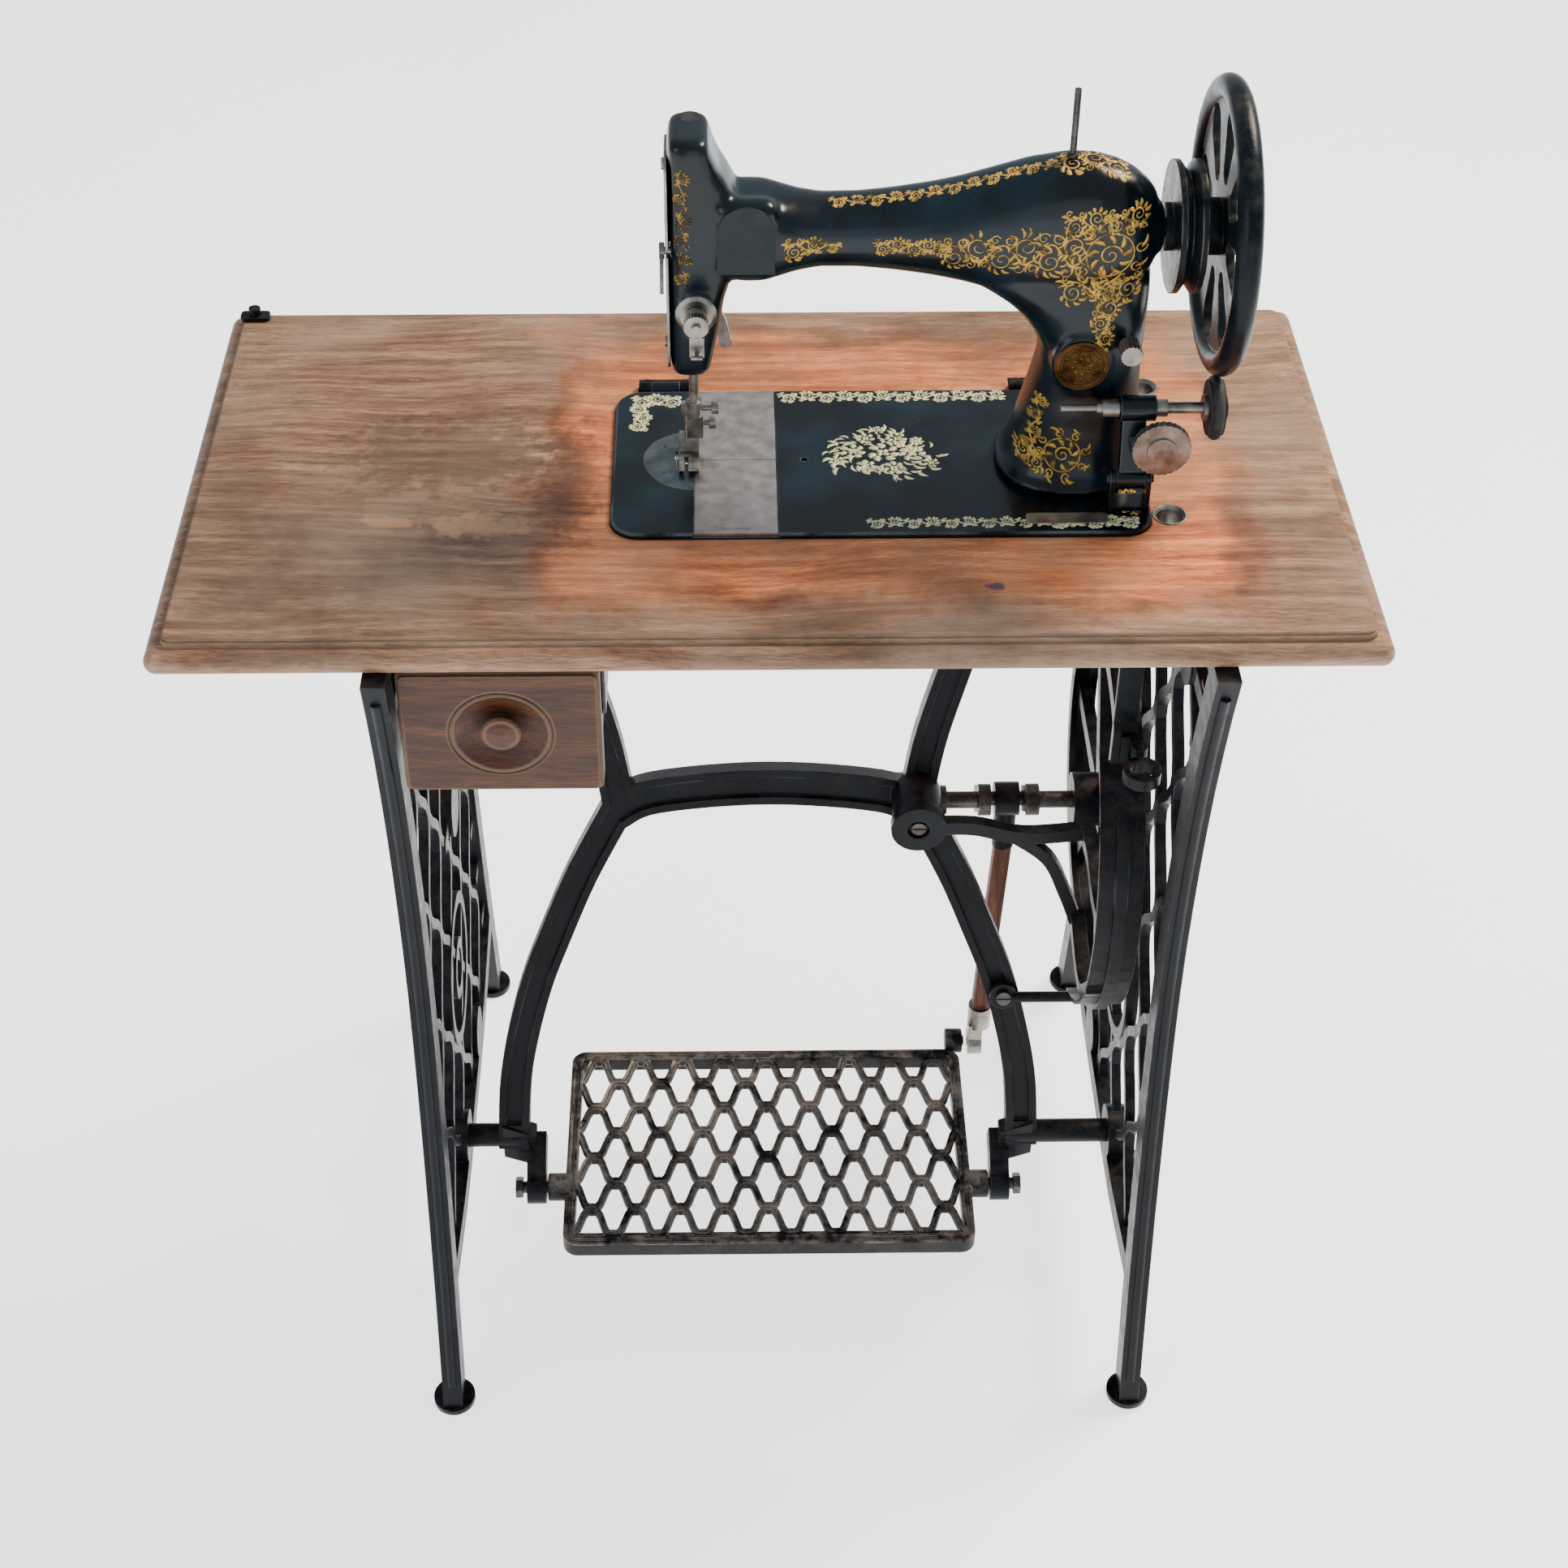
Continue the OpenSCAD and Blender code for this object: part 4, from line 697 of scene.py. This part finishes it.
def press(name, strokes, place, across, up, onto, down, finish, body):
    """Lays flat strokes at a place, and drops them onto a piece along down."""
    curve = bpy.data.curves.new(name, "CURVE")
    curve.dimensions = "3D"
    curve.bevel_depth = 1.0
    curve.bevel_resolution = 0
    for stroke in strokes:
        line_of = curve.splines.new("POLY")
        line_of.points.add(len(stroke) - 1)
        for point, (x, y, width) in zip(line_of.points, stroke):
            point.co = (x, y, 0, 1)
            point.radius = width
    curve.use_fill_caps = True
    band = as_mesh(name, curve)
    place, across, up, down = (Vector(v) for v in (place, across, up, down))
    missed = set()
    for v in band.data.vertices:
        above = place + across * v.co.x + up * v.co.y
        lift = LIFT + FLAT * v.co.z
        hit, spot, normal, _ = onto.ray_cast(above - down * 0.2, down)
        if hit:
            v.co = spot - down * max(lift, LEAST)
        else:
            missed.add(v.index)
    for v in band.data.vertices:
        v.select = v.index in missed
    bpy.ops.object.mode_set(mode="EDIT")
    bpy.ops.mesh.select_mode(type="VERT")
    bpy.ops.mesh.delete(type="VERT")
    bpy.ops.object.mode_set(mode="OBJECT")
    band.data.materials.append(finish)
    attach(band, body)
    print(name, "faces", len(band.data.polygons), "missed", len(missed))
    return band


bpy.context.view_layer.update()
head = bodies_of["arm"]
bed_node = frame["nodes"]["bed"]
back, top, down = (0, 1, 0), (0, 0, 1), (0, 0, -1)
side_x, side_y = (1, 0, 0), (0, 1, 0)


def on_front(name, strokes, x, z, across=side_x, up=top, finish=gilt):
    """A transfer on the front of the arm casting."""
    return press(name, strokes, (x, 0, z), across, up, casting, back, finish, head)


def on_bed(name, strokes, x, y, across=side_x, up=side_y, finish=cream_gilt):
    """A transfer on the top of the bed."""
    return press(name, strokes, (x, y, bed_top), across, up, bed_node, down, finish, head)


on_front("gilt_arm_front", vine(0.094, 0.022, 6, 0.00075, 1.8), 0.114, line.z - 0.003)
on_front("gilt_arm_elbow", flower(0, 0, 0.025, 9, 0.0009), 0.224, line.z - 0.004)
on_front("gilt_elbow_over", vine(0.056, 0.017, 4, 0.0007), 0.192, line.z + 0.020)
on_front("gilt_elbow_under", vine(0.056, 0.022, 3, 0.0008), 0.192, line.z - 0.029)
on_front("gilt_arm_waist", vine(0.050, 0.012, 5, 0.0006), 0.070, line.z)
on_front("gilt_arm_left", vine(0.038, 0.019, 3, 0.0008, 0.3), 0.011, line.z)
on_front("gilt_pillar", vine(0.056, 0.008, 5, 0.0007, 3.0), 0.224, bed_top + 0.098, top, side_x)
on_front("gilt_column", vine(0.088, 0.010, 6, 0.0006), -0.0555, bed_top + 0.150, top, side_x,
         worn_gilt)
on_front("gilt_foot_rose", flower(0, 0, 0.019, 8, 0.0009), 0.203, bed_top + 0.026)
on_front("gilt_foot_spray", vine(0.017, 0.020, 2, 0.0008, 0.6), 0.190, bed_top + 0.020,
         (-1, 0, 0))
on_front("gilt_foot_side", vine(0.044, 0.009, 4, 0.0007), 0.180, bed_top + 0.022,
         (0.17, 0, 0.985), side_x)
press("gilt_arm_top", vine(0.150, 0.010, 12, 0.0007), (0.040, line.y - 0.006, line.z), side_x,
      side_y, casting, down, gilt, head)
press("gilt_elbow_top", vine(0.044, 0.022, 3, 0.0009), (0.190, line.y - 0.004, line.z), side_x,
      side_y, casting, down, gilt, head)
plate_back = 2 * line.y - lo.y
on_bed("gilt_bed_back", vine(0.166, 0.013, 12, 0.0009), 0.010, plate_back - 0.009)
on_bed("gilt_bed_front", vine(0.140, 0.011, 11, 0.0007), 0.068, lo.y + 0.012)
on_bed("gilt_bed_edge", vine(0.060, 0.013, 5, 0.0010), hi.x - 0.070, lo.y + 0.012)
on_bed("gilt_corner_left", vine(0.034, 0.015, 3, 0.0010), lo.x + 0.012, plate_back - 0.013)
on_bed("gilt_corner_down", vine(0.034, 0.013, 3, 0.0010), lo.x + 0.018, plate_back - 0.018,
       (0, -1, 0), side_x)
on_bed("gilt_corner_right", vine(0.030, 0.014, 2, 0.0010), hi.x - 0.014, lo.y + 0.020, side_y,
       side_x, gilt)
on_bed("gilt_bouquet", bouquet(0.098, 0.070), (lo.x + hi.x) / 2 + 0.004, line.y + 0.006)
press("badge_relief", flower(0, 0, 0.0125, 8, 0.0008), (dot.x, 0, dot.z), side_x, top,
      frame["nodes"]["badge"], back, brass, bodies_of["badge"])
press("badge_rim", [[(0.0158 * math.cos(k * math.pi / 24), 0.0158 * math.sin(k * math.pi / 24),
                      0.0011) for k in range(49)]], (dot.x, 0, dot.z), side_x, top,
      frame["nodes"]["badge"], back, brass, bodies_of["badge"])

# %% [markdown]
# ## The treadle
# The foot plate is an open casting: rows of arches that touch at their tops,
# inside a raised rim. Each bar has a shallow groove along its middle, so it reads
# as two lines. A bar that keeps its section along a path is what a curve with a
# bevel profile makes, so the rows and the rim are swept and then made meshes.

# %% Swept bars of the treadle
def swept(name, path, profile, z, closed=False):
    """A mesh bar: a flat path, and the profile carried along it."""
    shapes = []
    for points, cyclic in ((profile, True), (path, closed)):
        made = bpy.data.curves.new(name, "CURVE")
        made.dimensions = "2D"
        made.fill_mode = "NONE"
        line_of = made.splines.new("POLY")
        line_of.points.add(len(points) - 1)
        for point, (x, y) in zip(line_of.points, points):
            point.co = (x, y, 0, 1)
        line_of.use_cyclic_u = cyclic
        shape = bpy.data.objects.new(name, made)
        bpy.context.scene.collection.objects.link(shape)
        shapes.append(shape)
    section, bar = shapes
    bar.data.bevel_mode = "OBJECT"
    bar.data.bevel_object = section
    bar.data.use_fill_caps = True
    bar.location.z = z
    bpy.ops.object.select_all(action="DESELECT")
    bar.select_set(True)
    bpy.context.view_layer.objects.active = bar
    bpy.ops.object.convert(target="MESH")
    bpy.data.objects.remove(section)
    bar = bpy.context.object
    bpy.ops.object.transform_apply(location=True, rotation=True, scale=True)
    return bar


tread_lo, tread_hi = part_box("treadle_plate")
pivot = (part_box("treadle_pivot_screws")[0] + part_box("treadle_pivot_screws")[1]) / 2
wide, deep = 0.344, 0.218
ARCHES, STEPS, ROW_STEP, SWING = 9, 144, 0.028, 0.012
mid_x, mid_y = pivot.x, tread_lo.y + deep / 2
rim_top = pivot.z + 0.008
groove = [(-2.9, -3), (-2.9, 1.7), (-2.4, 2.8), (-1.5, 3.0), (-0.7, 1.9), (0.7, 1.9),
          (1.5, 3.0), (2.4, 2.8), (2.9, 1.7), (2.9, -3)]
groove = [(x * mm, y * mm) for x, y in groove]
rows = []
for row in range(-3, 4):
    hand = 1 if row % 2 == 0 else -1
    path = []
    for i in range(STEPS + 1):
        along_x = -wide / 2 + 0.005 + (wide - 0.010) * i / STEPS
        turn = 2 * math.pi * ARCHES * i / STEPS
        swing = (math.cos(turn) - 0.15 * math.cos(3 * turn)) / 0.85
        path.append((mid_x + along_x, mid_y + 0.003 + ROW_STEP * row + hand * SWING * swing))
    rows.append(swept("arch_row", path, groove, pivot.z + 0.003))
corner = 0.008
rim_path = []
for cx, cy, from_turn in ((1, 1, 0), (-1, 1, 90), (-1, -1, 180), (1, -1, 270)):
    for k in range(7):
        a = math.radians(from_turn + 15 * k)
        rim_path.append((mid_x + cx * (wide / 2 - 0.005 - corner) + corner * math.cos(a),
                         mid_y + cy * (deep / 2 - 0.006 - corner) + corner * math.sin(a)))
section = [(-4.8, -7.3), (-4.8, 6.4), (-3.9, 7.3), (-2.2, 7.3), (-1.4, 5.9), (0.6, 5.9),
           (1.4, 7.2), (4.0, 7.2), (4.8, 6.4), (4.8, -7.3)]
rim = swept("rim", rim_path, [(x * mm, y * mm) for x, y in section], rim_top - 0.0075, True)
lip = swept("lip", [(mid_x - wide / 2 + 0.004, mid_y - deep / 2 + 0.014),
                    (mid_x + wide / 2 - 0.004, mid_y - deep / 2 + 0.014)],
            [(-4 * mm, -6 * mm), (-4 * mm, 1.5 * mm), (-3 * mm, 2.6 * mm), (4 * mm, 1.4 * mm),
             (4 * mm, -6 * mm)], rim_top - 0.0075)
lugs = []
for hand in (-1, 1):
    foot = mid_x + hand * (wide / 2 - 0.006)
    lugs.append(rod((foot, pivot.y, pivot.z), (foot + hand * 0.0205, pivot.y, pivot.z), 0.0118))
pin = (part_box("pitman_socket")[0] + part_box("pitman_socket")[1]) / 2
pin_z = pivot.z + 0.010
lugs.append(rod((mid_x + wide / 2 - 0.012, pin.y, pin_z), (mid_x + wide / 2 + 0.003, pin.y,
                                                         pin_z), 0.0108))
lugs.append(rod((mid_x + wide / 2, pin.y, pin_z), (tread_hi.x - 0.0102, pin.y, pin_z), 0.0045))
for lug in lugs:
    use(lug, "BEVEL", width=0.0012, segments=2, limit_method="ANGLE")
treadle = join_up("treadle_casting", rows + [rim, lip] + lugs)
bpy.ops.object.mode_set(mode="EDIT")
bpy.ops.mesh.select_all(action="SELECT")
bpy.ops.mesh.normals_make_consistent(inside=False)
bpy.ops.object.mode_set(mode="OBJECT")
bpy.ops.object.shade_smooth_by_angle(angle=math.radians(35))
stand_for(treadle, "treadle_plate", treadle_iron)
print("treadle faces:", len(treadle.data.polygons))

# %% [markdown]
# ## The turned knob
# The drawer pull is turned in one piece on a lathe: a stem, a hollow neck that two
# fingers fit behind, and a broad face with a fine ring cut in it. A lathe makes
# rings, so the same ring by ring skin as for the arm is used, with round sections.

# %% Turning the knob
knob_lo, knob_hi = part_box("drawer_knob")
hub = (knob_lo + knob_hi) / 2
turned = []
for out, radius in ((0, 5), (5.0, 5), (5.15, 9.3), (7, 8.6), (9, 8.4), (10.5, 9.2), (12, 11.2),
                    (13.4, 13.1), (14.6, 13.8), (15.8, 14.0), (16.8, 13.6), (17.5, 12.6),
                    (17.8, 11.4), (17.3, 10.6), (17.3, 10.1), (17.8, 9.4), (18.5, 6.5),
                    (18.9, 3), (19, 0.6)):
    turned.append(((hub.x, knob_hi.y - out * mm, hub.z), (radius * mm, 0, 0),
                   (0, 0, radius * mm), 2))
pull = skin("turned_knob", turned)
bpy.ops.object.shade_smooth_by_angle(angle=math.radians(40))
stand_for(pull, "drawer_knob", drawer_wood)
print("knob faces:", len(pull.data.polygons))

# %% [markdown]
# ## Ribs on the legs
# A long flat bar would warp as it cools, so each leg is cast with a round rib down
# the middle of its outer face. The rib follows the curve of the leg. Its path is
# found by looking straight at the leg from outside, at every centimetre of height.

# %% Casting the ribs
RIB_RADIUS = 0.0042
SUNK = 0.0012           # how deep the middle of the rib lies in the leg
for side in ("left", "right"):
    leg_node = frame["nodes"]["side_frame_" + side]
    leg_lo, leg_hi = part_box("side_frame_" + side)
    leg_x = (leg_lo.x + leg_hi.x) / 2
    for face, outward in (("front", -1), ("back", 1)):
        path = []
        for step in range(70):
            z = leg_lo.z + 0.022 + step * 0.0102
            hit, spot, _, _ = leg_node.ray_cast((leg_x, outward * 0.6, z), (0, -outward, 0))
            if hit and abs(spot.y) > 0.12:
                path.append(spot)
        curve = bpy.data.curves.new("rib", "CURVE")
        curve.dimensions = "3D"
        curve.bevel_depth = RIB_RADIUS
        curve.bevel_resolution = 2
        curve.use_fill_caps = True
        spine = curve.splines.new("POLY")
        spine.points.add(len(path) - 1)
        for point, spot in zip(spine.points, path):
            point.co = (spot.x, spot.y - outward * SUNK, spot.z, 1)
        rib = as_mesh("leg_rib_" + side + "_" + face, curve)
        bpy.ops.object.shade_smooth()
        rib.data.materials.append(cast_iron)
        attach(rib, bodies_of["side_frame_" + side])
        print(rib.name, "points", len(path))

# %% [markdown]
# ## Room, light and camera
# A pale floor that glows by itself and a bright, slightly blue room make a plain
# studio, with only faint shadows under the stand. One warm lamp stands high on the
# right behind the head, where the sun would be. A cooler, weaker one on the left
# and a faint one in front let the black iron show its shape.

# %% Floor and lamps
FLOOR_GLOW, ROOM_LIGHT = 1.8, 0.8
bpy.ops.object.select_all(action="DESELECT")
bpy.ops.mesh.primitive_plane_add(size=14, location=(0, 0, 0))
floor = bpy.context.object
floor.name = "studio_floor"
paper, shader, place = start("pale_paper")
fleck = add(paper, "TexNoise", {"Vector": (place, "Object"), "Scale": 3, "Detail": 3})
fleck = add(paper, "ValToRGB", {"Fac": (fleck, "Fac")}, [(0.3, "ececea"), (0.7, "f2f2f1")])
join(paper, fleck, 0, shader, "Base Color")
shader.inputs["Roughness"].default_value = 0.8
shader.inputs["Emission Color"].default_value = linear("ffffff")
shader.inputs["Emission Strength"].default_value = FLOOR_GLOW
floor.data.materials.append(paper)

world = bpy.data.worlds.new("bright_room")
bpy.context.scene.world = world
world.use_nodes = True
world.node_tree.nodes["Background"].inputs["Color"].default_value = linear("dbe8f6")
world.node_tree.nodes["Background"].inputs["Strength"].default_value = ROOM_LIGHT


def lamp(name, place, aim, size, power, tint):
    """A square soft box at a place, turned to look at a point."""
    bpy.ops.object.light_add(type="AREA", location=place)
    light = bpy.context.object
    light.name = name
    light.data.size = size
    light.data.energy = power
    light.data.color = linear(tint)[:3]
    light.rotation_euler = (Vector(aim) - Vector(place)).to_track_quat("-Z", "Y").to_euler()


lamps = (("sun_side", (1.6, 0.9, 2.6), (0, 0, 0.7), 0.8, 115, "fff1de"),
         ("window_side", (-2.2, -2.2, 2.0), (0, 0, 0.5), 1.8, 34, "dfeaff"),
         ("front_fill", (0.6, -3.0, 1.1), (0, 0, 0.5), 1.6, 8, "ffffff"))
for settings in lamps:
    lamp(*settings)
print("lamps:", len(lamps))

# %% Camera
LOOK_DOWN, LOOK_RIGHT = 39.82, 0.62     # degrees
bpy.ops.object.camera_add(location=(-0.026, -1.522, 1.818))
camera = bpy.context.object
camera.rotation_euler = (math.radians(90 - LOOK_DOWN), 0, math.radians(-LOOK_RIGHT))
camera.data.sensor_width = 36
camera.data.lens = 59.6
camera.data.shift_x = 0.0202
camera.data.shift_y = -0.0497
bpy.context.scene.camera = camera
print("camera lens", camera.data.lens)
